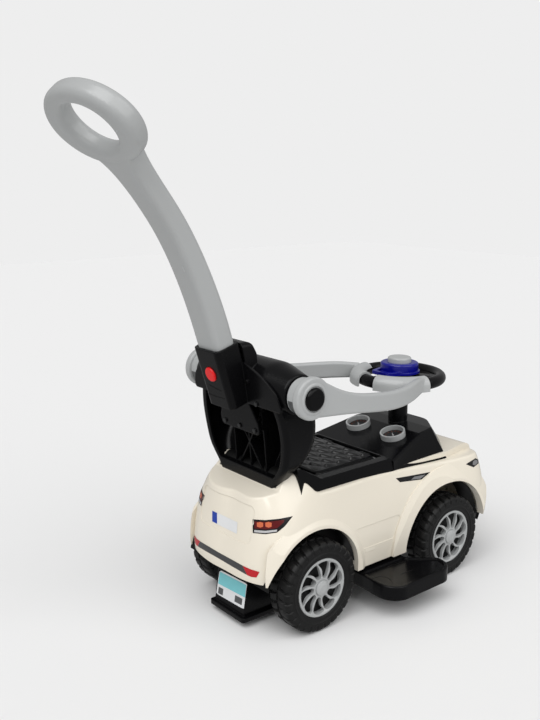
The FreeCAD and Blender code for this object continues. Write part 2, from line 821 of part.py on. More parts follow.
def make_front_valance():
    low = NOSE_LIP_Z - VALANCE_DROP
    zone = box(VALANCE_X, NOSE_X + 10, -BODY_HALF_W - 10, BODY_HALF_W + 10, low, NOSE_LIP_Z)
    lip = body_loft(0).cut(body_loft(BODY_WALL)).common(zone)
    plate_zone = box(VALANCE_X + 20, NOSE_X, -FLOOR_HALF_W, FLOOR_HALF_W, NOSE_LIP_Z - BODY_WALL, NOSE_LIP_Z)
    plate = body_loft(BODY_WALL / 2).common(plate_zone)
    screw_x, screw_y = chassis_screw_places()[-1]
    hole = rod_z(screw_x, screw_y, SCREW_HEAD_R + 1, low, NOSE_LIP_Z + 1)
    return fused([lip, plate]).cut(arch_bores(0) + [hole])


def make_footboard():
    outline = (
        (-BOARD_NECK_HALF, BOARD_ROOT_Y, 0),
        (BOARD_NECK_HALF, BOARD_ROOT_Y, 0),
        (BOARD_NECK_HALF, BOARD_FLARE_Y, 8),
        (BOARD_FRONT_X, BOARD_FRONT_Y, 10),
        (BOARD_FRONT_X, BOARD_END_Y, BOARD_CORNER_R),
        (BOARD_REAR_X, BOARD_END_Y, BOARD_CORNER_R),
        (BOARD_REAR_X, BOARD_WIDE_Y, 8),
        (-BOARD_NECK_HALF, BOARD_FLARE_Y, 8),
    )
    low = BOARD_TOP_Z - BOARD_T
    board = prism_xy(outline, low, BOARD_TOP_Z)
    edge = [e for e in board.Edges if abs(e.BoundBox.ZMin - BOARD_TOP_Z) < 0.01
            and e.BoundBox.YMin > BOARD_FLARE_Y - 8]
    board = board.makeFillet(3, edge)
    wire = rounded_wire(outline, lambda p: V(p.x, p.y, 0))
    under = wire.makeOffset2D(-BOARD_WALL)
    under.translate(V(0, 0, low - 1))
    hollow = Part.Face(under).extrude(V(0, 0, BOARD_T - BOARD_WALL - BOARD_RECESS + 1))
    panel = wire.makeOffset2D(-BOARD_RIM)
    panel.translate(V(0, 0, BOARD_TOP_Z - BOARD_RECESS))
    recess = Part.Face(panel).extrude(V(0, 0, BOARD_RECESS + 1))
    outside = box(BOARD_REAR_X, BOARD_FRONT_X, TRAY_HALF_W + 25, BOARD_END_Y, low, BOARD_TOP_Z + 2)
    return board.cut([hollow, recess.common(outside)])


# Axles and steering


def make_rear_axle():
    end = WHEEL_Y + WEB_Y + AXLE_END
    return rod_y(REAR_X, WHEEL_R, AXLE_R, -end, end)


def make_axle_spacers():
    start = CARRIER_Y + CARRIER_T / 2
    end = WHEEL_Y - HALF_TYRE - RUN_CLEAR
    sleeve = rod_y(REAR_X, WHEEL_R, SPACER_R, start, end)
    sleeve = sleeve.cut(rod_y(REAR_X, WHEEL_R, AXLE_R, start, end))
    return Part.makeCompound([sleeve, mirrored(sleeve)])


def make_kingpins():
    pins = []
    top = FLOOR_Z + FLOOR_T
    for y in (-KINGPIN_Y, KINGPIN_Y):
        pin = rod_z(FRONT_X, y, KINGPIN_R, BRACKET_LOW_Z, top)
        head = rod_z(FRONT_X, y, KINGPIN_R + 3, top, top + 3)
        pins.append(pin.fuse(head).removeSplitter())
    return Part.makeCompound(pins)


def make_knuckle():
    low = BRACKET_LOW_Z + BRACKET_T + RUN_CLEAR
    top = FLOOR_Z - RUN_CLEAR
    out = WHEEL_Y - HALF_TYRE - RUN_CLEAR
    pin_x = FRONT_X - KNUCKLE_ARM
    solids = [
        rod_z(FRONT_X, KINGPIN_Y, KNUCKLE_R, low, top),
        box(FRONT_X - KNUCKLE_R, FRONT_X + KNUCKLE_R, KINGPIN_Y, out,
            WHEEL_R - KNUCKLE_R, WHEEL_R + KNUCKLE_R),
        box(pin_x, FRONT_X, KINGPIN_Y - ARM_HALF_W, KINGPIN_Y + ARM_HALF_W, ARM_Z, ARM_Z + ARM_T),
        rod_z(pin_x, KINGPIN_Y, ARM_HALF_W, ARM_Z, ARM_Z + ARM_T),
        rod_z(pin_x, KINGPIN_Y, LINK_PIN_R, ARM_Z, ARM_Z + ARM_T + TIE_T + 3),
    ]
    stub_in = KINGPIN_Y + KINGPIN_R + 3
    cuts = [
        rod_z(FRONT_X, KINGPIN_Y, KINGPIN_R + PIVOT_CLEAR, low - 1, top + 1),
        rod_y(FRONT_X, WHEEL_R, AXLE_R, stub_in, out + 1),
    ]
    return fused(solids).cut(cuts)


def make_stub_axle():
    return rod_y(FRONT_X, WHEEL_R, AXLE_R, KINGPIN_Y + KINGPIN_R + 3, WHEEL_Y + WEB_Y + AXLE_END)


def make_tie_rod():
    low = ARM_Z + ARM_T + SLIDE_CLEAR
    pin_x = FRONT_X - KNUCKLE_ARM
    end = KINGPIN_Y + TIE_END
    bar = prism_xy(
        (
            (pin_x - TIE_HALF_W, -end, 8),
            (pin_x + TIE_HALF_W, -end, 8),
            (pin_x + TIE_HALF_W, end, 8),
            (pin_x - TIE_HALF_W, end, 8),
        ),
        low,
        low + TIE_T,
    )
    half = LINK_PIN_R + SLIDE_CLEAR
    slots = []
    for x, y in ((pin_x, -KINGPIN_Y), (pin_x, KINGPIN_Y), (STEER_X - CRANK, 0)):
        slots.append(box(x - half - LINK_SLOT, x + half + LINK_SLOT, y - half, y + half, low - 1, low + TIE_T + 1))
    return bar.cut(slots)


def make_steering_shaft():
    pin_x = STEER_X - CRANK
    solids = [
        rod_z(STEER_X, 0, SHAFT_R, SHAFT_LOW_Z, WHEEL_HUB_TOP_Z),
        rod_z(STEER_X, 0, SHAFT_R + 3, ARM_Z, ARM_Z + ARM_T),
        box(pin_x, STEER_X, -ARM_HALF_W, ARM_HALF_W, ARM_Z, ARM_Z + ARM_T),
        rod_z(pin_x, 0, ARM_HALF_W, ARM_Z, ARM_Z + ARM_T),
        rod_z(pin_x, 0, LINK_PIN_R, ARM_Z, ARM_Z + ARM_T + TIE_T + 3),
    ]
    return fused(solids)


def make_steering_wheel():
    ring = Part.makeTorus(RING_R, RING_TUBE, V(STEER_X, 0, RING_Z))
    hub = rod_z(STEER_X, 0, WHEEL_HUB_R, WHEEL_HUB_LOW_Z, WHEEL_HUB_TOP_Z)
    spokes = []
    for angle in (60, 180, 300):
        bar = box(STEER_X + 10, STEER_X + RING_R, -SPOKE_HALF_W, SPOKE_HALF_W,
                  RING_Z - SPOKE_T / 2, RING_Z + SPOKE_T / 2)
        spokes.append(turned(bar, V(STEER_X, 0, 0), V(0, 0, 1), angle))
    wheel = fused([hub, ring] + spokes)
    return wheel.cut(rod_z(STEER_X, 0, SHAFT_R, WHEEL_HUB_LOW_Z - 1, WHEEL_HUB_TOP_Z + 1))


def wing_outline(inset):
    """The cover's wing over the rear spoke, from the drum's sides to its blunt end."""
    tip = STEER_X - COVER_WING_X + inset
    root = COVER_R - inset
    return (
        (STEER_X, -root, 0),
        (STEER_X, root, 0),
        (tip, COVER_WING_HALF_W - inset, 4),
        (tip, -COVER_WING_HALF_W + inset, 4),
    )


def make_hub_cover():
    low = WHEEL_HUB_TOP_Z
    drum = rod_z(STEER_X, 0, COVER_R, low, COVER_TOP_Z)
    top = [e for e in drum.Edges if e.Closed and e.BoundBox.ZMin > COVER_TOP_Z - 0.01]
    drum = drum.makeFillet(4, top)
    flange = rod_z(STEER_X, 0, COVER_FLANGE_R, low, low + COVER_FLANGE_T)
    wing = prism_xy(wing_outline(0), low, low + COVER_WING_T)
    wing = wing.cut(prism_xy(wing_outline(COVER_WING_BAR), low - 1, low + COVER_WING_T + 1))
    cover = fused([drum, flange, wing])
    return cover.cut(rod_z(STEER_X, 0, HORN_R + SLIDE_CLEAR, HORN_FLOOR_Z, COVER_TOP_Z + 1))


def make_horn_button():
    low = HORN_FLOOR_Z + HORN_SPRING_T
    knob = rod_z(STEER_X, 0, HORN_R, low, HORN_TOP_Z)
    top = [e for e in knob.Edges if e.BoundBox.ZMin > HORN_TOP_Z - 0.01]
    return knob.makeFillet(4, top)


def make_horn_spring():
    outer = rod_z(STEER_X, 0, HORN_R / 2, HORN_FLOOR_Z, HORN_FLOOR_Z + HORN_SPRING_T)
    return outer.cut(rod_z(STEER_X, 0, HORN_R / 2 - 2, HORN_FLOOR_Z - 1, HORN_TOP_Z))


# Cockpit


def make_seat_surround(outer):
    front = SEAM_X - SEAM_GAP
    low = BELT_Z - 6
    rear = HAUNCH_X + 6
    side = (
        (front, low, 0),
        (front, SURROUND_TOP_Z, 3),
        (OPEN_REAR_X - 6, SURROUND_TOP_Z, 18),
        (rear + 8, HAUNCH_Z, 5),
        (rear, HAUNCH_Z, 0),
        (rear, low, 0),
    )
    top_half = SURROUND_HALF_W - SURROUND_LEAN
    section = (
        (-SURROUND_HALF_W, low, 0),
        (SURROUND_HALF_W, low, 0),
        (top_half, SURROUND_TOP_Z, 0),
        (top_half - 8, HAUNCH_Z + 2, 0),
        (-top_half + 8, HAUNCH_Z + 2, 0),
        (-top_half, SURROUND_TOP_Z, 0),
    )
    block = prism_xz(side, -SURROUND_HALF_W, SURROUND_HALF_W)
    block = block.common(prism_yz(section, rear, front))
    horn_gap = box(rear - 1, OPEN_REAR_X - 16, -OPEN_HALF_W, OPEN_HALF_W, low, HAUNCH_Z + 5)
    ledge_z = BELT_Z + BIN_FLANGE_T + SEAT_GAP + LEDGE_T
    relief = OPEN_HALF_W + BIN_FLANGE_W + SEAT_GAP
    ledge = OPEN_HALF_W - LEDGE_W
    cuts = [
        outer,
        back_loft(-SEAT_GAP, SEAT_GAP),
        horn_gap,
        box(OPEN_REAR_X, OPEN_FRONT_X, -OPEN_HALF_W, OPEN_HALF_W, ledge_z, HAUNCH_Z + 5),
        box(OPEN_REAR_X + LEDGE_W, OPEN_FRONT_X - LEDGE_W, -ledge, ledge, low, ledge_z + 1),
        box(OPEN_REAR_X - BIN_FLANGE_W - SEAT_GAP, OPEN_FRONT_X + 4 + SEAT_GAP, -relief, relief,
            low, BELT_Z + BIN_FLANGE_T + SEAT_GAP),
        rod_y(HINGE_X, HINGE_Z, HINGE_PIN_R, -OPEN_HALF_W - 6, OPEN_HALF_W + 6),
    ]
    return block.cut(cuts)


def make_storage_bin():
    half = OPEN_HALF_W - 2
    rear = OPEN_REAR_X
    front = OPEN_FRONT_X - 3
    flange = OPEN_HALF_W + BIN_FLANGE_W
    top = BELT_Z + BIN_FLANGE_T
    tub = box(rear, front, -half, half, BIN_FLOOR_Z, top)
    rim_plate = box(rear - BIN_FLANGE_W, OPEN_FRONT_X + 4, -flange, flange, BELT_Z, top)
    hollow = box(rear + BIN_WALL, front - BIN_WALL, -half + BIN_WALL, half - BIN_WALL,
                 BIN_FLOOR_Z + BIN_WALL, top + 1)
    return fused([tub, rim_plate]).cut(hollow)


def make_seat_lid():
    low = BELT_Z + BIN_FLANGE_T + SEAT_GAP + LEDGE_T + SEAT_GAP
    half = OPEN_HALF_W - 1
    rear = OPEN_REAR_X + 1
    plan = (
        (rear, -half, 12),
        (LID_FRONT_X, -half, 4),
        (LID_FRONT_X, half, 4),
        (rear, half, 12),
    )
    pad = prism_xy(plan, low, LID_TOP_Z)
    top = [e for e in pad.Edges if e.BoundBox.ZMin > LID_TOP_Z - 0.01]
    pad = pad.makeFillet(LID_EDGE_R, top)
    grooves = []
    middle_x = (rear + LID_FRONT_X) / 2
    zone = box(rear + QUILT_MARGIN, LID_FRONT_X - QUILT_MARGIN, -half + QUILT_MARGIN, half - QUILT_MARGIN,
               LID_TOP_Z - QUILT_GROOVE, LID_TOP_Z + 1)
    reach = int(half * 2 / QUILT_PITCH)
    for lean in (-QUILT_LEAN, QUILT_LEAN):
        for i in range(-reach, reach + 1):
            bar = box(-200, 200, -QUILT_GROOVE / 2, QUILT_GROOVE / 2, LID_TOP_Z - QUILT_GROOVE, LID_TOP_Z + 1)
            bar.translate(V(0, i * QUILT_PITCH, 0))
            bar.rotate(V(0, 0, 0), V(0, 0, 1), lean)
            bar.translate(V(middle_x, 0, 0))
            grooves.append(bar.common(zone))
    pad = pad.cut([g for g in grooves if g.Volume > 1])
    hollow_low = low - 1
    hollow = box(rear + 14, LID_FRONT_X - 14, -half + 14, half - 14, hollow_low, LID_TOP_Z - 6)
    pad = pad.cut(hollow)
    solids = [pad]
    for y in (-HINGE_KNUCKLE_Y, HINGE_KNUCKLE_Y):
        y0 = y - HINGE_KNUCKLE_LENGTH / 2
        y1 = y + HINGE_KNUCKLE_LENGTH / 2
        solids.append(rod_y(HINGE_X, HINGE_Z, HINGE_KNUCKLE_R, y0, y1))
        solids.append(box(LID_FRONT_X - 1, HINGE_X, y0, y1, HINGE_Z - 3, HINGE_Z + 3))
    lid = fused(solids)
    return lid.cut(rod_y(HINGE_X, HINGE_Z, HINGE_PIN_R + PIVOT_CLEAR, -OPEN_HALF_W, OPEN_HALF_W))


def make_hinge_pin():
    return rod_y(HINGE_X, HINGE_Z, HINGE_PIN_R, -OPEN_HALF_W - 6, OPEN_HALF_W + 6)


def cowl_block(inset, low):
    """The dash: sides that lean in more and more towards the front, and a raked front."""
    i = inset
    wires = []
    for x, top_z, top_half in COWL_STATIONS:
        section = (
            (-SURROUND_HALF_W + i, low, 0),
            (SURROUND_HALF_W - i, low, 0),
            (top_half - i, top_z - i, COWL_EDGE_R),
            (-top_half + i, top_z - i, COWL_EDGE_R),
        )
        place_x = x + i if x == COWL_STATIONS[0][0] else x
        wires.append(rounded_wire(section, lambda p, at=place_x: V(at, p.x, p.y)))
    block = Part.makeLoft(wires, True, True)
    plans = []
    for z, side_x, side_y, front_x in (
        (low, COWL_SIDE_X, SURROUND_HALF_W, COWL_FRONT_X),
        (COWL_TOP_Z + 1, COWL_TOP_X, COWL_STATIONS[-1][2], COWL_TOP_FRONT_X),
    ):
        outline = (
            (COWL_STATIONS[0][0] - 1, -SURROUND_HALF_W - 1, 0),
            (side_x - i, -side_y - 1, 10),
            (front_x - i, -COWL_NOSE_HALF_W, 40),
            (front_x - i, COWL_NOSE_HALF_W, 40),
            (side_x - i, side_y + 1, 10),
            (COWL_STATIONS[0][0] - 1, SURROUND_HALF_W + 1, 0),
        )
        plans.append(rounded_wire(outline, lambda p, level=z: V(p.x, p.y, level)))
    return block.common(Part.makeLoft(plans, True, True))


def make_dash_cowl(outer):
    shell = cowl_block(0, COWL_LOW_Z).cut(cowl_block(COWL_WALL, COWL_LOW_Z - COWL_WALL))
    boss = rod_z(STEER_X, 0, COLUMN_R, COWL_TOP_Z - 12, COLUMN_TOP_Z)
    shell = fused([shell, boss])
    bore = rod_z(STEER_X, 0, SHAFT_R + PIVOT_CLEAR, BELT_Z - 20, COLUMN_TOP_Z + 1)
    return shell.cut([outer, bore])


def on_dash(shape, y):
    """Sets a piece made on the XY plane down on the sloping dash."""
    rear_x, rear_z, _ = COWL_STATIONS[0]
    ledge_x, ledge_z, _ = COWL_STATIONS[1]
    rise = (ledge_z - rear_z) / (ledge_x - rear_x)
    copy = turned(shape, V(0, 0, 0), V(0, 1, 0), -math.degrees(math.atan(rise)))
    return moved(copy, GAUGE_X, y, rear_z + rise * (GAUGE_X - rear_x))


def make_gauge_bezels():
    ring = Part.makeCylinder(GAUGE_R, GAUGE_RISE)
    ring = ring.cut(Part.makeCylinder(GAUGE_R - GAUGE_WALL, GAUGE_RISE))
    return Part.makeCompound([on_dash(ring, y) for y in (-GAUGE_Y, GAUGE_Y)])


def make_gauge_dials():
    disc = Part.makeCylinder(GAUGE_R - GAUGE_WALL - SEAT_GAP, DIAL_T)
    return Part.makeCompound([on_dash(disc, y) for y in (-GAUGE_Y, GAUGE_Y)])


# Backrest, guard arms and push handle


def back_rear_x(z):
    """The backrest's rear plane, which leans back from the seat to the top."""
    top_z, top_x = BACK_LEVELS[-1][0], BACK_LEVELS[-1][1]
    return top_x - math.tan(math.radians(BACK_LEAN)) * (z - top_z)


def back_loft(inset, open_by):
    wires = []
    for z, rear, front, half in BACK_LEVELS:
        corners = (
            (rear - open_by, -half + inset, BACK_REAR_R),
            (front - inset, -half + inset, BACK_FRONT_R),
            (front - inset, half - inset, BACK_FRONT_R),
            (rear - open_by, half - inset, BACK_REAR_R),
        )
        wires.append(rounded_wire(corners, lambda p, level=z: V(p.x, p.y, level)))
    return Part.makeLoft(wires, True, False)


def shoulder_block(inset):
    """The round bar across the top, thickest in the middle, around the guard arms' pivots."""
    end = SHOULDER_Y - inset
    thick = SHOULDER_R - inset
    thin = SHOULDER_BARREL_R - inset
    profile = (
        (0, -end, 0),
        (thin, -end, BACK_WALL),
        (thick, -SHOULDER_FLAT_Y, SHOULDER_ROUND),
        (thick, SHOULDER_FLAT_Y, SHOULDER_ROUND),
        (thin, end, BACK_WALL),
        (0, end, 0),
    )
    return moved(revolve_y(profile), PIVOT_X, 0, PIVOT_Z)


def hump_block(inset, open_by):
    """The raised middle in front of the collar."""
    top = HUMP_TOP_Z - inset
    front = HUMP_FRONT_X - inset
    low = PIVOT_Z
    side = (
        (back_rear_x(low) - open_by, low, 0),
        (front, low, 0),
        (front, top - 2 * HUMP_R, HUMP_R),
        (front - HUMP_R, top, HUMP_R),
        (back_rear_x(top) - open_by, top, 0),
    )
    section = (
        (-HUMP_HALF_W + inset, low, 0),
        (HUMP_HALF_W - inset, low, 0),
        (HUMP_TOP_HALF_W - inset, top, HUMP_R),
        (-HUMP_TOP_HALF_W + inset, top, HUMP_R),
    )
    block = prism_xz(side, -HUMP_HALF_W, HUMP_HALF_W)
    return block.common(prism_yz(section, TAIL_X - BACK_OPEN, REAR_X))


def back_cross_ribs():
    """The crossed and upright ribs inside the backrest, set back from its open rear."""
    ribs = []
    reach = 2 * SHOULDER_Y
    for angle in (-RIB_LEAN, RIB_LEAN):
        rib = box(TAIL_X, 0, -reach, reach, -RIB_T / 2, RIB_T / 2)
        rib = turned(rib, V(0, 0, 0), V(1, 0, 0), angle)
        ribs.append(moved(rib, 0, 0, RIB_CROSS_Z))
    for y in (-RIB_Y, 0, RIB_Y):
        ribs.append(box(TAIL_X, 0, y - RIB_T / 2, y + RIB_T / 2, 0, PIVOT_Z + reach))
    zone = back_loft(BACK_WALL / 2, -RIB_RECESS)
    return [rib.common(zone) for rib in ribs]


def make_backrest(outer, socket):
    low = BACK_LEVELS[0][0]
    foot_top = low + BACK_FOOT_H
    ahead = prism_xz(
        (
            (back_rear_x(low), low, 0),
            (0, low, 0),
            (0, HUMP_TOP_Z, 0),
            (back_rear_x(HUMP_TOP_Z), HUMP_TOP_Z, 0),
        ),
        -SHOULDER_Y,
        SHOULDER_Y,
    )
    solid = fused([back_loft(0, 0), shoulder_block(0).common(ahead), hump_block(0, 0)])
    hollow = fused([back_loft(BACK_WALL, BACK_OPEN), shoulder_block(BACK_WALL), hump_block(BACK_WALL, BACK_OPEN)])
    hollow = hollow.cut(box(TAIL_X - BACK_OPEN, 0, -SHOULDER_Y, SHOULDER_Y, low - 1, foot_top))
    rim = back_loft(0, 0).cut([back_loft(-1, -BACK_RIM_T), back_loft(BACK_RIM, BACK_OPEN)])
    shell = solid.cut(hollow)
    shell = shell.fuse([rim] + back_cross_ribs() + make_screw_bosses(solid)).removeSplitter()
    cuts = [outer, socket]
    pin = rod_y(PIVOT_X, PIVOT_Z, PIVOT_PIN_R, SHOULDER_Y - PIVOT_SEAT, SHOULDER_Y + 1)
    cuts += [pin, mirrored(pin)]
    for y, up in socket_screw_places():
        cuts.append(plate_rod(y, up, SCREW_R, 1, -SCREW_LENGTH))
    return shell.cut(cuts)


def leaning(shape):
    """Turns a piece made upright around the collar's top into the push handle's lean."""
    copy = turned(shape, V(0, 0, 0), V(0, 1, 0), -HANDLE_LEAN)
    return moved(copy, COLLAR_TOP_X, 0, COLLAR_TOP_Z)


def plate_place(y, up, out):
    """A point of the backrest's leaning rear plane: across, up along it and out behind it."""
    lean = math.radians(BACK_LEAN)
    x = BACK_LEVELS[-1][1] - up * math.sin(lean) - out * math.cos(lean)
    z = BACK_LEVELS[-1][0] + up * math.cos(lean) - out * math.sin(lean)
    return V(x, y, z)


def plate_rod(y, up, radius, out0, out1):
    start = plate_place(y, up, out0)
    way = plate_place(y, up, out1) - start
    return Part.makeCylinder(radius, way.Length, start, way)


def socket_screw_places():
    places = [(y, FLANGE_SCREW_UP) for y in (-FLANGE_SCREW_Y, 0, FLANGE_SCREW_Y)]
    for side in (-1, 1):
        places += [(side * y, up) for y, up in WING_SCREWS]
    return places


def make_screw_bosses(solid):
    bosses = []
    for y, up in socket_screw_places():
        bosses.append(plate_rod(y, up, BOSS_R, 0, -120).common(solid))
    return bosses


def make_socket_screws():
    screws = []
    for y, up in socket_screw_places():
        head = plate_rod(y, up, SCREW_HEAD_R, WING_T, WING_T + SCREW_HEAD_T)
        shank = plate_rod(y, up, SCREW_R, WING_T, WING_T - SCREW_LENGTH)
        screws.append(head.fuse(shank).removeSplitter())
    return Part.makeCompound(screws)


def stem_outline(grow):
    d = STEM_D / 2 + grow
    w = STEM_W / 2 + grow
    return ((-d, -w, STEM_R), (d, -w, STEM_R), (d, w, STEM_R), (-d, w, STEM_R))


def socket_block():
    """The collar with its wings and skirt, before the stem's cavity is cut."""
    rear = -STEM_D / 2 - SLIDE_CLEAR - COLLAR_REAR_WALL
    front = STEM_D / 2 + SLIDE_CLEAR + COLLAR_WALL
    half = STEM_W / 2 + SLIDE_CLEAR + COLLAR_WALL
    block = prism_xy(
        ((rear, -half, 10), (front, -half, 6), (front, half, 6), (rear, half, 10)),
        -COLLAR_LENGTH,
        0,
    )
    collar = leaning(block)
    low = FLANGE_LOW_Z
    top = WING_OUTLINE[-1][1]
    lean_t = WING_T / math.cos(math.radians(BACK_LEAN))
    sheet = prism_xz(
        (
            (back_rear_x(low), low, 0),
            (back_rear_x(top), top, 0),
            (back_rear_x(top) - lean_t, top, 0),
            (back_rear_x(low) - lean_t, low, 0),
        ),
        -SHOULDER_Y,
        SHOULDER_Y,
    )
    flange = (
        (-FLANGE_HALF_W, low, 8),
        (FLANGE_HALF_W, low, 8),
        (FLANGE_HALF_W, low + FLANGE_RISE, 10),
        (half, WING_LOW_Z + 1, 0),
        (-half, WING_LOW_Z + 1, 0),
        (-FLANGE_HALF_W, low + FLANGE_RISE, 10),
    )
    wing = WING_OUTLINE + tuple((-y, z, radius) for y, z, radius in reversed(WING_OUTLINE))
    x0 = COLLAR_TOP_X
    x1 = PIVOT_X
    wings = sheet.common(prism_yz(wing, x0, x1))
    skirt = sheet.common(prism_yz(flange, x0, x1))
    return fused([collar, wings, skirt])


def make_handle_socket(block):
    cavity = leaning(prism_xy(stem_outline(SLIDE_CLEAR), -STEM_INSERT - SLIDE_CLEAR, 60))
    hole = Part.makeCylinder(BUTTON_R + SLIDE_CLEAR, 40, V(-STEM_D, 0, -BUTTON_DOWN), V(1, 0, 0))
    hole = hole.common(box(-60, 0, -60, 60, -STEM_INSERT, 0))
    cuts = [cavity, leaning(hole)]
    for y, up in socket_screw_places():
        cuts.append(plate_rod(y, up, SCREW_R, -1, WING_T + 1))
    return block.cut(cuts)


def make_release_button():
    wall_in = -STEM_D / 2 - SLIDE_CLEAR
    flange_at = wall_in + SEAT_GAP
    tip = wall_in - COLLAR_REAR_WALL - BUTTON_RISE
    stem = Part.makeCylinder(BUTTON_R, flange_at - tip, V(tip, 0, -BUTTON_DOWN), V(1, 0, 0))
    crown = [e for e in stem.Edges if e.Closed and abs(e.CenterOfMass.x - tip) < 0.1]
    stem = stem.makeFillet(BUTTON_RISE - 0.5, crown)
    flange = Part.makeCylinder(BUTTON_FLANGE_R, BUTTON_FLANGE_T, V(flange_at, 0, -BUTTON_DOWN), V(1, 0, 0))
    return leaning(fused([stem, flange]))


def make_button_spring():
    """A steel leaf behind the button: it spans the groove and its ends bear on the collar wall."""
    wall_in = -STEM_D / 2 - SLIDE_CLEAR
    face = wall_in + SEAT_GAP + BUTTON_FLANGE_T
    reach = LEAF_LENGTH / 2
    t = LEAF_T
    shape = (
        (wall_in, -reach, 0),
        (wall_in + t, -reach, 0),
        (face + t, -reach + 8, 0),
        (face + t, reach - 8, 0),
        (wall_in + t, reach, 0),
        (wall_in, reach, 0),
        (face, reach - 8, 0),
        (face, -reach + 8, 0),
    )
    leaf = prism_xz(shape, -LEAF_HALF_W, LEAF_HALF_W)
    leaf.translate(V(0, 0, -BUTTON_DOWN))
    return leaning(leaf)


def stem_wire(x, z, lean, depth, width):
    lean = math.radians(lean)
    corners = [(a * depth, b * width, r * depth) for a, b, r in stem_outline(0)]
    return rounded_wire(
        corners,
        lambda p: V(x + p.x * math.cos(lean), p.y, z + p.x * math.sin(lean)),
    )


def make_push_handle():
    straight = prism_xy(stem_outline(0), -STEM_INSERT, 0)
    depth = SEAT_GAP + BUTTON_FLANGE_T + LEAF_T + BUTTON_TRAVEL + GROOVE_SPARE
    groove = box(-STEM_D / 2 - 1, -STEM_D / 2 + depth, -GROOVE_HALF_W, GROOVE_HALF_W,
                 -STEM_INSERT - 1, -BUTTON_DOWN + LEAF_LENGTH / 2 + 4)
    root = leaning(straight.cut(groove))
    wires = [stem_wire(COLLAR_TOP_X, COLLAR_TOP_Z, HANDLE_LEAN, 1, 1)]
    wires += [stem_wire(*station) for station in STEM_STATIONS]
    stem = Part.makeLoft(wires, True, False)
    up = V(0, 0, 1)
    rim_edge = Part.Ellipse(V(0, 0, -GRIP_T / 2), GRIP_HALF_W, GRIP_HALF_L).toShape()
    hole_edge = Part.Ellipse(V(0, 0, -GRIP_T / 2), GRIP_HOLE_HALF_W, GRIP_HOLE_HALF_L).toShape()
    disc = Part.Face(Part.Wire([rim_edge])).extrude(up * GRIP_T)
    hole = Part.Face(Part.Wire([hole_edge])).extrude(up * GRIP_T)
    grip = disc.cut(hole)
    rims = [e for e in grip.Edges if e.Closed and e.BoundBox.ZLength < 0.01]
    grip = grip.makeFillet(GRIP_EDGE_R, rims)
    grip = turned(grip, V(0, 0, 0), V(0, 0, 1), 90)
    grip = turned(grip, V(0, 0, 0), V(0, 1, 0), -90 - GRIP_LEAN)
    grip = moved(grip, GRIP_X, 0, GRIP_Z)
    return fused([root, stem, grip])


def arm_wire(x, y, z, heading, height):
    turn = math.radians(heading)
    t = ARM_THICK / 2
    h = height / 2
    corners = ((-t, -h, 5), (t, -h, 5), (t, h, 5), (-t, h, 5))
    return rounded_wire(
        corners,
        lambda p: V(x + p.x * math.sin(turn), y + p.x * math.cos(turn), z + p.y),
    )


def ring_sector(shape, arc):
    """Keeps the part of a shape around the steering axis between two angles in degrees."""
    reach = 2 * (RING_R + RING_TUBE)
    wedge = Part.makeCylinder(reach, reach, V(STEER_X, 0, RING_Z - RING_R), V(0, 0, 1), arc[1] - arc[0])
    return shape.common(turned(wedge, V(STEER_X, 0, 0), V(0, 0, 1), arc[0]))


def make_guard_arm():
    """The left arm; the right one is its mirror image."""
    disc_y = ARM_FACE_Y - ARM_THICK
    band = Part.makeLoft([arm_wire(*station) for station in ARM_STATIONS], True, False)
    disc = rod_y(PIVOT_X, PIVOT_Z, ARM_HUB_R, disc_y, ARM_FACE_Y)
    rims = [e for e in disc.Edges if e.Closed]
    disc = disc.makeFillet(4, rims)
    barrel = rod_y(PIVOT_X, PIVOT_Z, ARM_BARREL_R, ARM_HUB_Y + RUN_CLEAR, disc_y + 2)
    saddle_z = RING_Z - SADDLE_PLAY + SEAT_GAP
    inner = RING_TUBE + SADDLE_PLAY
    outer = inner + SADDLE_WALL
    arc = (180 - SADDLE_END, 180 - SADDLE_START)
    hood = ring_sector(Part.makeTorus(RING_R, outer, V(STEER_X, 0, saddle_z)), arc)
    skirt = ring_sector(rod_z(STEER_X, 0, RING_R + outer, SADDLE_LOW_Z, saddle_z), arc)
    hood = hood.cut(rod_z(STEER_X, 0, RING_R + 2 * outer, SADDLE_LOW_Z - outer, saddle_z))
    arm = fused([band, disc, barrel, hood, skirt])
    room = Part.makeTorus(RING_R, inner, V(STEER_X, 0, saddle_z))
    spoke_top = RING_Z + SPOKE_T / 2 + SEAT_GAP
    cuts = [
        room,
        rod_z(STEER_X, 0, RING_R + inner, SADDLE_LOW_Z - outer, saddle_z),
        rod_z(STEER_X, 0, RING_R, SADDLE_LOW_Z - outer, spoke_top),
        rod_y(PIVOT_X, PIVOT_Z, PIVOT_PIN_R + PIVOT_CLEAR, ARM_HUB_Y - 1, ARM_FACE_Y + 1),
    ]
    return arm.cut(cuts)


def make_arm_pivot():
    start = SHOULDER_Y - PIVOT_SEAT
    end = ARM_FACE_Y - 3
    pin = rod_y(PIVOT_X, PIVOT_Z, PIVOT_PIN_R, start, end)
    flange = rod_y(PIVOT_X, PIVOT_Z, PIVOT_PIN_R + 6, SHOULDER_Y, ARM_HUB_Y)
    plug = rod_y(PIVOT_X, PIVOT_Z, PLUG_R, end - PLUG_LENGTH, end + 1)
    return fused([pin, flange]).cut(plug)


def make_arm_cap():
    seat = ARM_FACE_Y + SEAT_GAP
    dome = rod_y(PIVOT_X, PIVOT_Z, ARM_CAP_R, seat, seat + ARM_CAP_RISE)
    rim_edge = [e for e in dome.Edges if e.Closed and e.CenterOfMass.y > seat + ARM_CAP_RISE - 0.1]
    dome = dome.makeFillet(ARM_CAP_RISE - 1, rim_edge)
    plug = rod_y(PIVOT_X, PIVOT_Z, PLUG_R, ARM_FACE_Y - 3 - PLUG_LENGTH, seat)
    return fused([dome, plug])


def both_sides(name, shape):
    return {name + "_left": shape, name + "_right": mirrored(shape)}


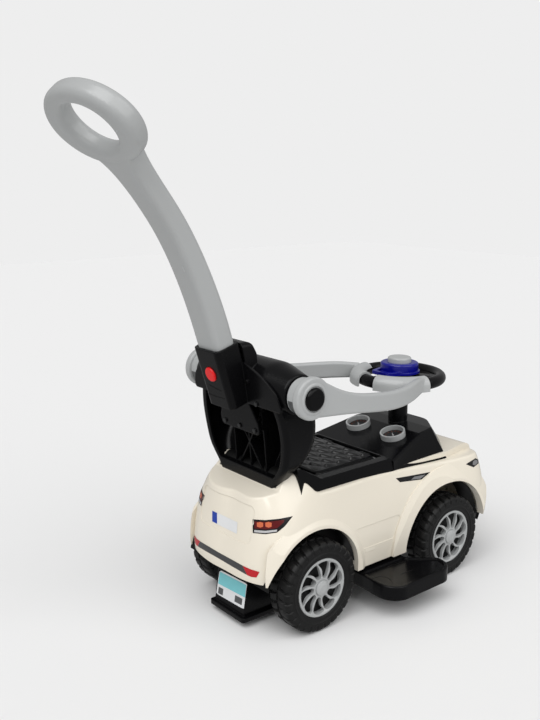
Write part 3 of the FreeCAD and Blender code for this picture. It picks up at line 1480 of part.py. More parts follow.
def make_parts():
    outer = make_body_outer()
    socket = socket_block()
    parts = {
        "body_shell": make_body(outer),
        "chassis": make_chassis(),
        "chassis_screws": make_chassis_screws(),
        "rear_stop": make_rear_stop(),
        "front_valance": make_front_valance(),
        "rear_axle": make_rear_axle(),
        "rear_axle_spacers": make_axle_spacers(),
        "kingpins": make_kingpins(),
        "tie_rod": make_tie_rod(),
        "steering_shaft": make_steering_shaft(),
        "steering_wheel": make_steering_wheel(),
        "steering_hub_cover": make_hub_cover(),
        "horn_button": make_horn_button(),
        "horn_spring": make_horn_spring(),
        "seat_surround": make_seat_surround(outer),
        "storage_bin": make_storage_bin(),
        "seat_lid": make_seat_lid(),
        "seat_hinge_pin": make_hinge_pin(),
        "dash_cowl": make_dash_cowl(outer),
        "gauge_bezels": make_gauge_bezels(),
        "gauge_dials": make_gauge_dials(),
        "handle_socket": make_handle_socket(socket),
        "socket_screws": make_socket_screws(),
        "release_button": make_release_button(),
        "button_spring": make_button_spring(),
        "push_handle": make_push_handle(),
    }
    parts["backrest"] = make_backrest(outer, socket)
    parts.update(both_sides("footboard", make_footboard()))
    parts.update(both_sides("knuckle", make_knuckle()))
    parts.update(both_sides("stub_axle", make_stub_axle()))
    parts.update(both_sides("guard_arm", make_guard_arm()))
    parts.update(both_sides("arm_pivot", make_arm_pivot()))
    parts.update(both_sides("arm_cap", make_arm_cap()))
    wheel_pieces = {"tyre": make_tyre(), "rim": make_rim(), "hub_cap": make_hub_cap()}
    nut = make_axle_nut()
    for end, x in (("rear", REAR_X), ("front", FRONT_X)):
        for hand, side in (("left", 1), ("right", -1)):
            for piece, shape in wheel_pieces.items():
                parts["%s_%s_%s" % (piece, end, hand)] = at_wheel(shape, x, side)
            parts["axle_nut_%s_%s" % (end, hand)] = at_wheel(nut, x, side)
    return parts


os.makedirs("parts", exist_ok=True)
for node, solid in make_parts().items():
    if not solid.isValid():
        print(node, "is not valid")
    print(node, len(solid.Solids), round(solid.Volume / 1000, 1))
    moved(solid, -ORIGIN_X, 0, 0).exportStep("parts/%s.step" % node)
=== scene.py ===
import json
import math

import bpy
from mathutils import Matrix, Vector
from mathutils.bvhtree import BVHTree


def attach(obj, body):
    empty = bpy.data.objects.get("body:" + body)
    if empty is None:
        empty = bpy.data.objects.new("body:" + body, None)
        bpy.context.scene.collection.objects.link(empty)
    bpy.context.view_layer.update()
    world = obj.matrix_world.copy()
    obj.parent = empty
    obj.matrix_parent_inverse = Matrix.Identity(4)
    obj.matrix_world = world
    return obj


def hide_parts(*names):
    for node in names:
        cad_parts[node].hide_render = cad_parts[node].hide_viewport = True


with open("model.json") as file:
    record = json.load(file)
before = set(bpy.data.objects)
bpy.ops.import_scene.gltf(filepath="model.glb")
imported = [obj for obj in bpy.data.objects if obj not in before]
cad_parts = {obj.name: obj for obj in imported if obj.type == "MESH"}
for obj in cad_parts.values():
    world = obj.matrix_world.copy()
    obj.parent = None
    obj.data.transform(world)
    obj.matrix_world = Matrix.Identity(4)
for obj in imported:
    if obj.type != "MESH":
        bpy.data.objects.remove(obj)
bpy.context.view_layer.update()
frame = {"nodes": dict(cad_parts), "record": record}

# Places are in millimetres: x forward from the middle between the axles, y to the car's left
# and z up from the floor.
MM = 0.001
AXLE_MID_X = 113.9
SIDES = {"left": 1, "right": -1}

# The photograph's frame and viewpoint.
PHOTO_WIDTH = 540
PHOTO_HEIGHT = 720
FOCAL_PIXELS = 862.63
SENSOR = 36.0
CAMERA_AT = (-1080.5, -1124.1, 766.6)
CAMERA_AIM = (0.6151, 0.7592, -0.2128)

BACKDROP = 0.855
FLOOR_SIZE = 12.0
FLOOR_PAPER = 0.815
FLOOR_MOTTLE = 0.005
FIBRE_SIZE = 0.004
AMBIENT = 0.35

# Each lamp's name, the direction from the car to it, its width in degrees and its power.
LAMPS = (
    ("key_light", (-0.55, -0.12, 0.85), 50, 1.7),
    ("fill_light", (0.15, -0.75, 0.65), 60, 1.15),
    ("edge_light", (-0.75, -0.55, 0.6), 7, 0.12),
)
LAMP_REACH = 4.0

AXLE_X = {"rear": -167.0, "front": 167.0}
WHEEL_R = 80.0
WHEEL_Y = 114.0


def at(x, y, z):
    """A place in millimetres, as a point of the part's frame."""
    return Vector((x + AXLE_MID_X, y, z)) * MM


def around(middle, radius, angle, y):
    """A place on a circle that faces the car's side. middle is its x and z."""
    return at(middle[0] + radius * math.cos(angle), y, middle[1] + radius * math.sin(angle))


class Socket:
    """An output in a finish's node tree. Arithmetic on it adds Math nodes."""

    def __init__(self, finish, socket):
        self.finish = finish
        self.socket = socket

    def math(self, operation, first, second):
        return self.finish.node("Math", {"operation": operation}, {0: first, 1: second})

    def __add__(self, other):
        return self.math("ADD", self, other)

    __radd__ = __add__

    def __mul__(self, other):
        return self.math("MULTIPLY", self, other)

    __rmul__ = __mul__


class Finish:
    """A material: its node tree, and the shader that its nodes feed."""

    def __init__(self, name):
        self.material = bpy.data.materials.new(name)
        self.material.use_nodes = True
        self.tree = self.material.node_tree
        self.shader = self.tree.nodes["Principled BSDF"]

    def feed(self, socket, value):
        if isinstance(value, Socket):
            self.tree.links.new(value.socket, socket)
        else:
            socket.default_value = value

    def node(self, kind, settings=(), inputs=(), output=0):
        made = self.tree.nodes.new("ShaderNode" + kind)
        for name, value in dict(settings).items():
            setattr(made, name, value)
        for name, value in dict(inputs).items():
            self.feed(made.inputs[name], value)
        return Socket(self, made.outputs[output])

    def blend(self, share, first, second):
        return self.node("Mix", {"data_type": "RGBA"}, {0: share, 6: first, 7: second}, 2)

    def noise(self, size, detail=2.0):
        """Soft noise whose lumps are about that many metres across."""
        place = self.node("TexCoord", output="Object")
        return self.node("TexNoise", {}, {"Vector": place, "Scale": 1 / size, "Detail": detail})

    def shade(self, inputs):
        for name, value in inputs.items():
            self.feed(self.shader.inputs[name], value)


def tint(colour, scale):
    return tuple(min(1.0, part * scale) for part in colour) + (1.0,)


def uneven(gloss, noise, spread):
    """Roughness about a middle value, up and down with a noise by a share of it."""
    return gloss * (1 - spread) + noise * (2 * gloss * spread)


# Lump sizes of the finishes' noises and radii of their soft edges, in metres.
CLOUD_SIZE = 0.11
RUB_SIZE = 0.03
GRAIN_SIZE = 0.0014
SCUFF_SIZE = 0.012
PIT_SIZE = 0.0016
PIT_DEPTH = 0.00006
STREAK_SIZE = 0.004
DOT_SIZE = 0.002
INK_RUB_SIZE = 0.02
TYRE_EDGE = 0.0009
EDGE_SAMPLES = 6

# Shares by which a finish's roughness or colour goes up and down.
PLASTIC_SPREAD = 0.12
TYRE_SPREAD = 0.2
INK_SPREAD = 0.2
STREAK_SPREAD = 0.2

STEEL_COLOUR = (0.52, 0.52, 0.53)
STEEL_GLOSS = (0.25, 0.2)
SCUFF_TINTS = (0.7, 1.5)
TYRE_SHINE = 0.25


def moulded(name, colour, gloss, cloud=0.02, shine=0.5, grain=0.00001, edge=0.0011):
    """Moulded plastic: faintly clouded colour, uneven gloss, fine grain and softened edges."""
    made = Finish(name)
    clouds = made.noise(CLOUD_SIZE)
    rubs = made.noise(RUB_SIZE, 3.0)
    base = made.blend(clouds, tint(colour, 1 - cloud), tint(colour, 1 + cloud))
    fine = made.noise(GRAIN_SIZE)
    soft = made.node("Bevel", {"samples": EDGE_SAMPLES}, {"Radius": edge})
    bumped = made.node("Bump", {}, {"Strength": 1.0, "Distance": grain, "Height": fine, "Normal": soft})
    made.shade({
        "Base Color": base,
        "Roughness": uneven(gloss, rubs, PLASTIC_SPREAD),
        "Specular IOR Level": shine,
        "Normal": bumped,
    })
    return made.material


def rubbery(name, colour, gloss):
    """Hard tyre plastic: dull, finely pitted, with paler scuffs."""
    made = Finish(name)
    scuffs = made.noise(SCUFF_SIZE, 5.0)
    pits = made.noise(PIT_SIZE, 3.0)
    dark, pale = SCUFF_TINTS
    base = made.blend(scuffs, tint(colour, dark), tint(colour, pale))
    soft = made.node("Bevel", {"samples": EDGE_SAMPLES}, {"Radius": TYRE_EDGE})
    bumped = made.node("Bump", {}, {"Strength": 1.0, "Distance": PIT_DEPTH, "Height": pits, "Normal": soft})
    made.shade({
        "Base Color": base,
        "Roughness": uneven(gloss, scuffs, TYRE_SPREAD),
        "Specular IOR Level": TYRE_SHINE,
        "Normal": bumped,
    })
    return made.material


def steel(name, brightness=1.0):
    """Plain drawn steel with fine streaks."""
    made = Finish(name)
    streaks = made.noise(STREAK_SIZE, 6.0)
    dull = tint(STEEL_COLOUR, (1 - STREAK_SPREAD) * brightness)
    bright = tint(STEEL_COLOUR, (1 + STREAK_SPREAD) * brightness)
    made.shade({
        "Base Color": made.blend(streaks, dull, bright),
        "Roughness": STEEL_GLOSS[0] + streaks * STEEL_GLOSS[1],
        "Metallic": 1.0,
    })
    return made.material


def printed(name, colour, gloss, speckle=0.08):
    """Printed film: flat ink with a faint speckle under a glossy face."""
    made = Finish(name)
    dots = made.noise(DOT_SIZE)
    rubs = made.noise(INK_RUB_SIZE, 3.0)
    made.shade({
        "Base Color": made.blend(dots, tint(colour, 1 - speckle), tint(colour, 1 + speckle)),
        "Roughness": uneven(gloss, rubs, INK_SPREAD),
    })
    return made.material


CREAM = moulded("cream_plastic", (0.835, 0.775, 0.66), 0.2, cloud=0.012)
GREY = moulded("grey_plastic", (0.42, 0.43, 0.43), 0.26)
WHEEL_GREY = moulded("wheel_grey_plastic", (0.40, 0.41, 0.41), 0.3, edge=0.0006)
GLOSS_BLACK = moulded("gloss_black_plastic", (0.003, 0.003, 0.0035), 0.18, cloud=0.1, shine=0.18, edge=0.0025)
SATIN_BLACK = moulded("satin_black_plastic", (0.0035, 0.0035, 0.004), 0.24, cloud=0.1, shine=0.18,
                      grain=0.00002, edge=0.0025)
MATT_BLACK = moulded("matt_black_plastic", (0.006, 0.006, 0.006), 0.45, cloud=0.1, shine=0.2, grain=0.00004)
TYRE = rubbery("tyre_plastic", (0.008, 0.008, 0.008), 0.42)
BLUE = moulded("blue_plastic", (0.003, 0.004, 0.23), 0.18, cloud=0.05)
RED = moulded("red_plastic", (0.80, 0.008, 0.010), 0.22, cloud=0.04)
DIAL = printed("dial_print", (0.006, 0.006, 0.007), 0.3)
STEEL = steel("plain_steel")
FILM_BLACK = printed("film_black", (0.005, 0.005, 0.006), 0.2)
FILM_RED = printed("film_red", (0.10, 0.003, 0.004), 0.2, 0.25)
FILM_BRIGHT_RED = printed("film_bright_red", (0.50, 0.012, 0.02), 0.2, 0.2)
FILM_GREY = printed("film_grey", (0.055, 0.055, 0.058), 0.3, 0.15)
FILM_DARK = printed("film_dark_grey", (0.085, 0.088, 0.09), 0.35, 0.1)
FILM_SILVER = printed("film_silver", (0.50, 0.50, 0.51), 0.25, 0.1)
FILM_WHITE = printed("film_white", (0.76, 0.77, 0.78), 0.25, 0.03)
FILM_BLUE = printed("film_blue", (0.012, 0.05, 0.36), 0.25, 0.1)
FILM_AQUA = printed("film_aqua", (0.20, 0.58, 0.63), 0.25, 0.06)
FILM_AMBER = printed("film_amber", (0.60, 0.14, 0.06), 0.25, 0.2)
DIAL_MARK = printed("dial_mark", (0.20, 0.05, 0.02), 0.3, 0.2)
# A grey film that is a painted highlight, laid on the dark vent and headlight films.
PAINTED_GLEAM = printed("painted_highlight_film", (0.20, 0.20, 0.205), 0.25, 0.15)
QUILT_BLACK = moulded("quilt_black_plastic", (0.006, 0.006, 0.0065), 0.3, cloud=0.1)
# Steel darkened with painted shade, for screw heads in the dark holes of the handle's socket.
RECESS_SHADE_STEEL = steel("steel_with_painted_recess_shade", 0.16)

SLOT_FINISH = {
    "cream_gloss": CREAM,
    "grey_gloss": GREY,
    "grey_wheel": WHEEL_GREY,
    "black_gloss": GLOSS_BLACK,
    "black_satin": SATIN_BLACK,
    "black_matte": MATT_BLACK,
    "tyre_black": TYRE,
    "blue_gloss": BLUE,
    "red_gloss": RED,
    "dial_face": DIAL,
    "steel": STEEL,
}

for subpart in frame["record"]["subparts"]:
    node = frame["nodes"][subpart["node"]]
    node.data.materials.clear()
    node.data.materials.append(SLOT_FINISH[subpart["material_slot"]])
# The socket's screw heads take the darkened steel: painted shade of the holes they sit in.
frame["nodes"]["socket_screws"].data.materials[0] = RECESS_SHADE_STEEL


def piece(name, points, faces, finish, body, smooth=True):
    """A mesh piece that rides on a body of the car."""
    mesh = bpy.data.meshes.new(name)
    mesh.from_pydata(points, [], faces)
    mesh.update()
    mesh.materials.append(finish)
    if smooth:
        mesh.shade_smooth()
    made = bpy.data.objects.new(name, mesh)
    bpy.context.scene.collection.objects.link(made)
    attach(made, body)
    return made


def grid_faces(rows, columns):
    faces = []
    for row in range(rows - 1):
        for column in range(columns - 1):
            first = row * columns + column
            faces.append((first, first + 1, first + columns + 1, first + columns))
    return faces


def turned_faces(steps, count, closed):
    """Faces round an axis, where each step has the points of one section."""
    faces = []
    for step in range(steps):
        here = step * count
        ahead = (step + 1) % steps * count
        for index in range(count if closed else count - 1):
            after = (index + 1) % count
            faces.append((here + index, ahead + index, ahead + after, here + after))
    return faces


def camera():
    data = bpy.data.cameras.new("photo_view")
    data.sensor_width = SENSOR
    data.lens = FOCAL_PIXELS * SENSOR / PHOTO_HEIGHT
    made = bpy.data.objects.new("photo_view", data)
    made.location = at(*CAMERA_AT)
    made.rotation_euler = Vector(CAMERA_AIM).to_track_quat("-Z", "Y").to_euler()
    bpy.context.scene.collection.objects.link(made)
    bpy.context.scene.camera = made


def lamp(name, towards, width, power):
    """A far, wide light. towards points from the car to it, and width is its angle in degrees."""
    data = bpy.data.lights.new(name, "SUN")
    data.angle = math.radians(width)
    data.energy = power
    made = bpy.data.objects.new(name, data)
    made.location = Vector(towards).normalized() * LAMP_REACH
    made.rotation_euler = (-Vector(towards)).to_track_quat("-Z", "Y").to_euler()
    bpy.context.scene.collection.objects.link(made)


def backdrop():
    """The world: pale where the camera sees it, and dimmer where it lights the car."""
    world = bpy.data.worlds.new("studio")
    bpy.context.scene.world = world
    world.use_nodes = True
    nodes = world.node_tree.nodes
    links = world.node_tree.links
    path = nodes.new("ShaderNodeLightPath")
    shown = nodes.new("ShaderNodeBackground")
    shown.inputs["Color"].default_value = (BACKDROP, BACKDROP, BACKDROP, 1.0)
    lit = nodes.new("ShaderNodeBackground")
    lit.inputs["Color"].default_value = (AMBIENT, AMBIENT, AMBIENT, 1.0)
    pick = nodes.new("ShaderNodeMixShader")
    links.new(path.outputs["Is Camera Ray"], pick.inputs[0])
    links.new(lit.outputs[0], pick.inputs[1])
    links.new(shown.outputs[0], pick.inputs[2])
    links.new(pick.outputs[0], nodes["World Output"].inputs["Surface"])


def paper_floor():
    """Pale matt paper under the car, which looks dimmer in the car's own reflections."""
    floor = Finish("floor_paper")
    fibres = floor.noise(FIBRE_SIZE, 3.0)
    paper = (FLOOR_PAPER,) * 3
    floor.shade({
        "Base Color": floor.blend(fibres, tint(paper, 1 - FLOOR_MOTTLE), tint(paper, 1 + FLOOR_MOTTLE)),
        "Roughness": 1.0,
        "Specular IOR Level": 0.0,
    })
    mirrored = floor.node("LightPath", output="Is Glossy Ray")
    dim = floor.node("Emission", {}, {"Color": (AMBIENT, AMBIENT, AMBIENT, 1.0)})
    mixed = floor.node("MixShader", {}, {0: mirrored, 1: Socket(floor, floor.shader.outputs[0]), 2: dim})
    floor.feed(floor.tree.nodes["Material Output"].inputs["Surface"], mixed)
    half = FLOOR_SIZE / 2
    corners = [(-half, -half, 0), (half, -half, 0), (half, half, 0), (-half, half, 0)]
    mesh = bpy.data.meshes.new("floor")
    mesh.from_pydata(corners, [], [(0, 1, 2, 3)])
    mesh.materials.append(floor.material)
    ground = bpy.data.objects.new("floor", mesh)
    bpy.context.scene.collection.objects.link(ground)


def studio():
    """Pale paper under and behind the car, with wide soft light from above and from its right and rear."""
    backdrop()
    paper_floor()
    for name, towards, width, power in LAMPS:
        lamp(name, towards, width, power)
    bpy.context.scene.view_settings.view_transform = "Standard"


AIM = Vector(CAMERA_AIM).normalized()
ACROSS = AIM.cross(Vector((0, 0, 1))).normalized()
UPWARD = ACROSS.cross(AIM)
MIRROR = Vector((1, -1, 1))


def sight(column, row):
    """The line of sight through a place in the photograph, counted in its pixels."""
    aim = AIM * FOCAL_PIXELS + ACROSS * (column - PHOTO_WIDTH / 2) + UPWARD * (PHOTO_HEIGHT / 2 - row)
    return at(*CAMERA_AT), aim.normalized()


def along(points, share):
    """A place on a broken line, by its share of the line's length."""
    spots = [Vector(point) for point in points]
    lengths = [(end - start).length for start, end in zip(spots, spots[1:])]
    left = share * sum(lengths)
    for start, end, length in zip(spots, spots[1:], lengths):
        if left <= length:
            return start.lerp(end, left / length)
        left -= length
    return spots[-1]


class Skin:
    """The outside of a CAD node, for laying films on it."""

    def __init__(self, node):
        mesh = frame["nodes"][node].data
        points = [vertex.co.copy() for vertex in mesh.vertices]
        self.tree = BVHTree.FromPolygons(points, [face.vertices[:] for face in mesh.polygons])
        self.reach = (at(*CAMERA_AT) - sum(points, Vector()) / len(points)).length

    def hit(self, start, aim, lift):
        """Where a line of sight meets the skin, or the skin's nearest place where it just passes an edge."""
        place, normal, _, reach = self.tree.ray_cast(start, aim)
        if place is None:
            place, normal, _, _ = self.tree.find_nearest(start + aim * self.reach)
        else:
            self.reach = reach
        if normal.dot(aim) > 0:
            normal = -normal
        return place + normal * lift


def film(name, skin, edges, finish, lift, both_sides=False, rows=7, columns=30):
    """A printed film on a skin. edges are its lower and upper line, by their pixels in the photograph."""
    low, high = edges
    sights = []
    for row in range(rows):
        for column in range(columns):
            share = column / (columns - 1)
            sights.append(sight(*along(low, share).lerp(along(high, share), row / (rows - 1))))
    points = [skin.hit(start, aim, lift) for start, aim in sights]
    faces = grid_faces(rows, columns)
    piece(name, points, faces, finish, "car")
    if both_sides:
        points = [skin.hit(start * MIRROR, aim * MIRROR, lift) for start, aim in sights]
        piece(name + "_left", points, faces, finish, "car")


FILM_LIFT = 0.0003
OVERPRINT_LIFT = 0.0005
BODY_SKIN = Skin("body_shell")
STOP_SKIN = Skin("rear_stop")
BOARD_SKIN = Skin("footboard_right")
SOCKET_SKIN = Skin("handle_socket")

# Lower and upper edges of the films, in pixels of the photograph.
TAIL_CASE_PX = (
    ((252.8, 533.0), (265.2, 534.2), (277.1, 532.6), (284.7, 526.4), (292.4, 516.6)),
    ((252.7, 519.3), (265.2, 520.1), (279.3, 518.8), (292.6, 516.2)),
)
TAIL_LENS_PX = (
    ((254.6, 528.4), (266.0, 529.4), (277.0, 528.2), (283.5, 522.5)),
    ((254.4, 521.4), (266.0, 521.8), (278.0, 520.6), (284.5, 519.6)),
)
TAIL_BULB_PX = (
    ((257.2, 526.6), (260.2, 527.6), (263.2, 526.8)),
    ((257.0, 522.6), (260.2, 521.9), (263.4, 522.8)),
)
BULB_SPACING_PX = 8.4
TAIL_STRIP_PX = (
    ((254.4, 532.2), (265.4, 533.0), (276.6, 531.6)),
    ((254.4, 530.0), (265.4, 530.8), (277.2, 529.6)),
)
BUMPER_BAND_PX = (
    ((218.8, 558.4), (232.6, 566.6), (247.0, 574.9)),
    ((218.8, 552.4), (231.0, 559.1), (242.6, 565.5)),
)
REFLECTOR_PX = (
    ((247.3, 575.0), (251.6, 576.9), (256.6, 577.4)),
    ((242.8, 565.6), (250.6, 569.2), (259.6, 571.9)),
)
TAIL_PLATE_PX = (((212.1, 521.6), (237.0, 533.8)), ((212.2, 510.1), (237.6, 522.3)))
TAIL_PLATE_BAND_PX = (((212.4, 521.3), (217.2, 523.7)), ((212.5, 510.7), (217.2, 512.9)))
STOP_PLATE_PX = (
    ((216.5, 592.6), (218.5, 594.6), (242.0, 608.2), (244.0, 608.6)),
    ((219.6, 571.4), (221.6, 570.6), (245.4, 582.9), (247.0, 584.6)),
)
STOP_PLATE_BAND_PX = (((218.3, 583.4), (245.2, 597.6)), ((220.2, 571.6), (246.4, 585.0)))
STOP_PLATE_BLOCKS_PX = (
    (((218.2, 593.0), (222.8, 595.4)), ((219.0, 586.6), (223.6, 589.0))),
    (((234.6, 601.4), (241.8, 605.2)), ((235.4, 595.0), (242.6, 598.8))),
)
VENT_PX = (
    ((400.0, 482.2), (421.7, 479.4), (430.0, 472.2)),
    ((395.8, 478.3), (413.0, 475.2), (430.2, 472.0)),
)
VENT_GLEAM_PX = (((410.9, 479.6), (420.4, 478.6)), ((414.4, 476.6), (425.2, 474.6)))
HEADLIGHT_PX = (
    ((466.0, 464.3), (473.5, 467.3), (478.6, 463.2)),
    ((466.1, 464.0), (475.4, 458.2), (478.2, 459.4)),
)
HEADLIGHT_GLEAM_PX = (
    ((472.4, 464.6), (475.0, 465.2), (477.4, 462.6)),
    ((472.8, 461.4), (475.2, 459.8), (477.0, 460.6)),
)

# Fine moulded grooves, drawn as dark lines of painted shade, in pixels of the photograph.
TREAD_LINES_PX = (
    ((387.4, 567.5), (398.3, 563.9), (409.2, 560.2)),
    ((401.2, 574.4), (407.0, 572.3), (412.7, 570.2)),
    ((372.1, 578.6), (379.8, 576.7), (386.0, 577.2), (390.6, 580.2), (392.8, 584.0)),
)
SOCKET_RIBS_PX = (
    ((208.9, 384.9), (215.2, 388.6), (221.4, 391.6)),
    ((208.6, 393.9), (216.8, 397.2), (224.6, 399.4)),
)
LINE_WIDTH_PX = 0.6


def shifted(line, right, down):
    return tuple((column + right, row + down) for column, row in line)


def tail_lights():
    """Film of a rear lamp round each corner of the tail: black case, red lens, bulbs and a pale strip."""
    film("tail_light_case", BODY_SKIN, TAIL_CASE_PX, FILM_BLACK, FILM_LIFT, True)
    film("tail_light_lens", BODY_SKIN, TAIL_LENS_PX, FILM_RED, OVERPRINT_LIFT, True)
    film("tail_light_strip", BODY_SKIN, TAIL_STRIP_PX, FILM_SILVER, OVERPRINT_LIFT, True)
    for number in range(2):
        edges = [shifted(line, number * BULB_SPACING_PX, 0) for line in TAIL_BULB_PX]
        lift = OVERPRINT_LIFT + FILM_LIFT
        film("tail_light_bulb_%d" % number, BODY_SKIN, edges, FILM_AMBER, lift, True)


def bumper_band():
    """Band along the tail above the bumper, grey between two red reflectors."""
    film("bumper_band", BODY_SKIN, BUMPER_BAND_PX, FILM_GREY, FILM_LIFT, True)
    film("bumper_reflector", BODY_SKIN, REFLECTOR_PX, FILM_BRIGHT_RED, OVERPRINT_LIFT, True)


def plates():
    """Blank plates on the tailgate and on the rear stop."""
    film("tail_plate", BODY_SKIN, TAIL_PLATE_PX, FILM_WHITE, FILM_LIFT)
    film("tail_plate_band", BODY_SKIN, TAIL_PLATE_BAND_PX, FILM_BLUE, OVERPRINT_LIFT)
    film("stop_plate", STOP_SKIN, STOP_PLATE_PX, FILM_WHITE, FILM_LIFT)
    film("stop_plate_band", STOP_SKIN, STOP_PLATE_BAND_PX, FILM_AQUA, OVERPRINT_LIFT)
    for number, edges in enumerate(STOP_PLATE_BLOCKS_PX):
        film("stop_plate_block_%d" % number, STOP_SKIN, edges, FILM_DARK, OVERPRINT_LIFT)


def side_marks():
    """Dark slash behind each front wheel arch and the headlights, each with a grey film that is a painted
    highlight.
    """
    film("vent", BODY_SKIN, VENT_PX, FILM_BLACK, FILM_LIFT, True)
    film("vent_painted_highlight", BODY_SKIN, VENT_GLEAM_PX, PAINTED_GLEAM, OVERPRINT_LIFT, True)
    film("headlight", BODY_SKIN, HEADLIGHT_PX, FILM_BLACK, FILM_LIFT, True)
    film("headlight_painted_highlight", BODY_SKIN, HEADLIGHT_GLEAM_PX, PAINTED_GLEAM, OVERPRINT_LIFT, True)


def groove_shade_lines():
    """Dark lines of painted shade in the fine grooves moulded into the footboards' treads, and along the ribs
    under the release button.
    """
    for number, line in enumerate(TREAD_LINES_PX):
        edges = (line, shifted(line, 0, -LINE_WIDTH_PX))
        film("tread_line_%d" % number, BOARD_SKIN, edges, MATT_BLACK, FILM_LIFT, rows=2)
    for number, line in enumerate(SOCKET_RIBS_PX):
        edges = (line, shifted(line, 0, -LINE_WIDTH_PX))
        name = "socket_rib_%d" % number
        film(name, SOCKET_SKIN, edges, GLOSS_BLACK, OVERPRINT_LIFT, rows=2)


# A black sheet of painted shade covers the floor of the backrest's hollow.
WELL_X = (-221.0, -192.0)
WELL_HALF_W = 79.0
WELL_TOP_Z = 400.0
WELL_LIFT = 0.0016
WELL_ROWS = 12
WELL_COLUMNS = 60


def backrest_well_shade():
    """Black sheet on the body inside the hollow of the backrest, where it stands on the body: painted shade
    in the recess.
    """
    points = []
    for row in range(WELL_ROWS):
        x = WELL_X[0] + (WELL_X[1] - WELL_X[0]) * row / (WELL_ROWS - 1)
        for column in range(WELL_COLUMNS):
            y = WELL_HALF_W * (2 * column / (WELL_COLUMNS - 1) - 1)
            points.append(BODY_SKIN.hit(at(x, y, WELL_TOP_Z), Vector((0, 0, -1)), WELL_LIFT))
    faces = grid_faces(WELL_ROWS, WELL_COLUMNS)
    piece("backrest_well_shade", points, faces, MATT_BLACK, "car")


ARCH_R = {"rear": 100.0, "front": 109.0}
# A black sheet of painted shade lies just inside each wheel arch.
SHADE_SHEET_GAP = 1.2
SHADE_SHEET_Y = (72.0, 114.0)
# Share of the half turn over the wheel that the shade sheet leaves free at each end.
SHADE_SHEET_FREE = 0.04
SHADE_SHEET_STEPS = 40


def arch_shade_sheet(end, hand):
    """Black sheet over a wheel, inside the body's arch: painted shade standing in for the arch's shadowed
    inside.
    """
    radius = ARCH_R[end] - SHADE_SHEET_GAP
    points = []
    for reach in SHADE_SHEET_Y:
        for column in range(SHADE_SHEET_STEPS):
            angle = math.pi * (SHADE_SHEET_FREE + (1 - 2 * SHADE_SHEET_FREE) * column / (SHADE_SHEET_STEPS - 1))
            points.append(around((AXLE_X[end], WHEEL_R), radius, angle, SIDES[hand] * reach))
    name = "arch_liner_%s_%s" % (end, hand)
    faces = grid_faces(len(SHADE_SHEET_Y), SHADE_SHEET_STEPS)
    piece(name, points, faces, MATT_BLACK, "car")


# Half of a tyre's section from the rim's edge to the middle of the tread: radius and reach outwards.
TYRE_SIDE = (
    (52.3, 22.6), (53.5, 23.6), (57.0, 23.4), (60.0, 23.8), (61.5, 24.6), (63.0, 23.8), (66.0, 23.7),
    (69.5, 24.0), (72.5, 24.2), (75.0, 23.6), (77.2, 22.2), (78.7, 20.2), (79.6, 17.6), (79.9, 14.0),
    (80.0, 10.0), (80.0, 6.0), (80.0, 2.6), (77.6, 2.0), (77.6, 0.6),
)
TYRE_INSIDE = ((48.0, -22.0), (48.0, 4.0), (15.0, 4.0), (15.0, -24.0), (5.3, -24.0), (5.3, 9.0), (52.3, 9.0))
TYRE_HALF_W = 24.0
LUGS = 28
LUG_STEPS = 12
LUG_SHOULDER_R = 68.0
LUG_DEPTH = 3.8
LUG_NOTCH = 1.5
# Shares of the way from lug to lug: a lug's slant towards the side, half its width and its sloping edge.
LUG_SLANT = 0.35
LUG_HALF = 0.34
LUG_EDGE = 0.06
# Reach from the tread's middle where the side wall starts, and where the middle groove ends.
SIDEWALL_REACH = 22.0
RIB_REACH = 2.1


def tyre_groove(turn, reach):
    """How far a place lies in a groove between two lugs, from 0 to 1."""
    stagger = 0.5 if reach < 0 else 0.0
    phase = (turn * LUGS + LUG_SLANT * abs(reach) / TYRE_HALF_W + stagger) % 1.0
    edge = abs(phase - 0.5) - LUG_HALF
    return min(1.0, max(0.0, edge / LUG_EDGE))


def tyre(end, hand):
    """A tyre with chunky lugs, a groove round the middle of the tread and a ridge on its side."""
    side = SIDES[hand]
    section = list(TYRE_SIDE) + [(r, -reach) for r, reach in reversed(TYRE_SIDE)] + list(TYRE_INSIDE)
    steps = LUGS * LUG_STEPS
    points = []
    for step in range(steps):
        turn = step / steps
        angle = 2 * math.pi * turn
        for index, (radius, reach) in enumerate(section):
            if index < 2 * len(TYRE_SIDE) and radius > LUG_SHOULDER_R and abs(reach) > RIB_REACH:
                groove = tyre_groove(turn, reach)
                if abs(reach) > SIDEWALL_REACH:
                    reach -= math.copysign(LUG_NOTCH * groove, reach)
                else:
                    radius -= LUG_DEPTH * groove
            z = WHEEL_R + radius * math.cos(angle)
            points.append(at(AXLE_X[end] + radius * math.sin(angle), side * (WHEEL_Y + reach), z))
    faces = turned_faces(steps, len(section), True)
    name = "%s_%s" % (end, hand)
    made = piece("lugged_tyre_" + name, points, faces, TYRE, "wheel_" + name, False)
    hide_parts("tyre_" + name)


QUILT_X = (-130.0, 2.0)
QUILT_HALF_W = 79.0
QUILT_Z = 263.1
QUILT_RISE = 5.0
QUILT_DIAMOND = (15.0, 23.0)
QUILT_CREST = 0.2
# A power below 1 makes the diamonds puffed rather than peaked.
QUILT_ROUND = 0.6
QUILT_BORDER = 10.0
QUILT_STEP = 0.75


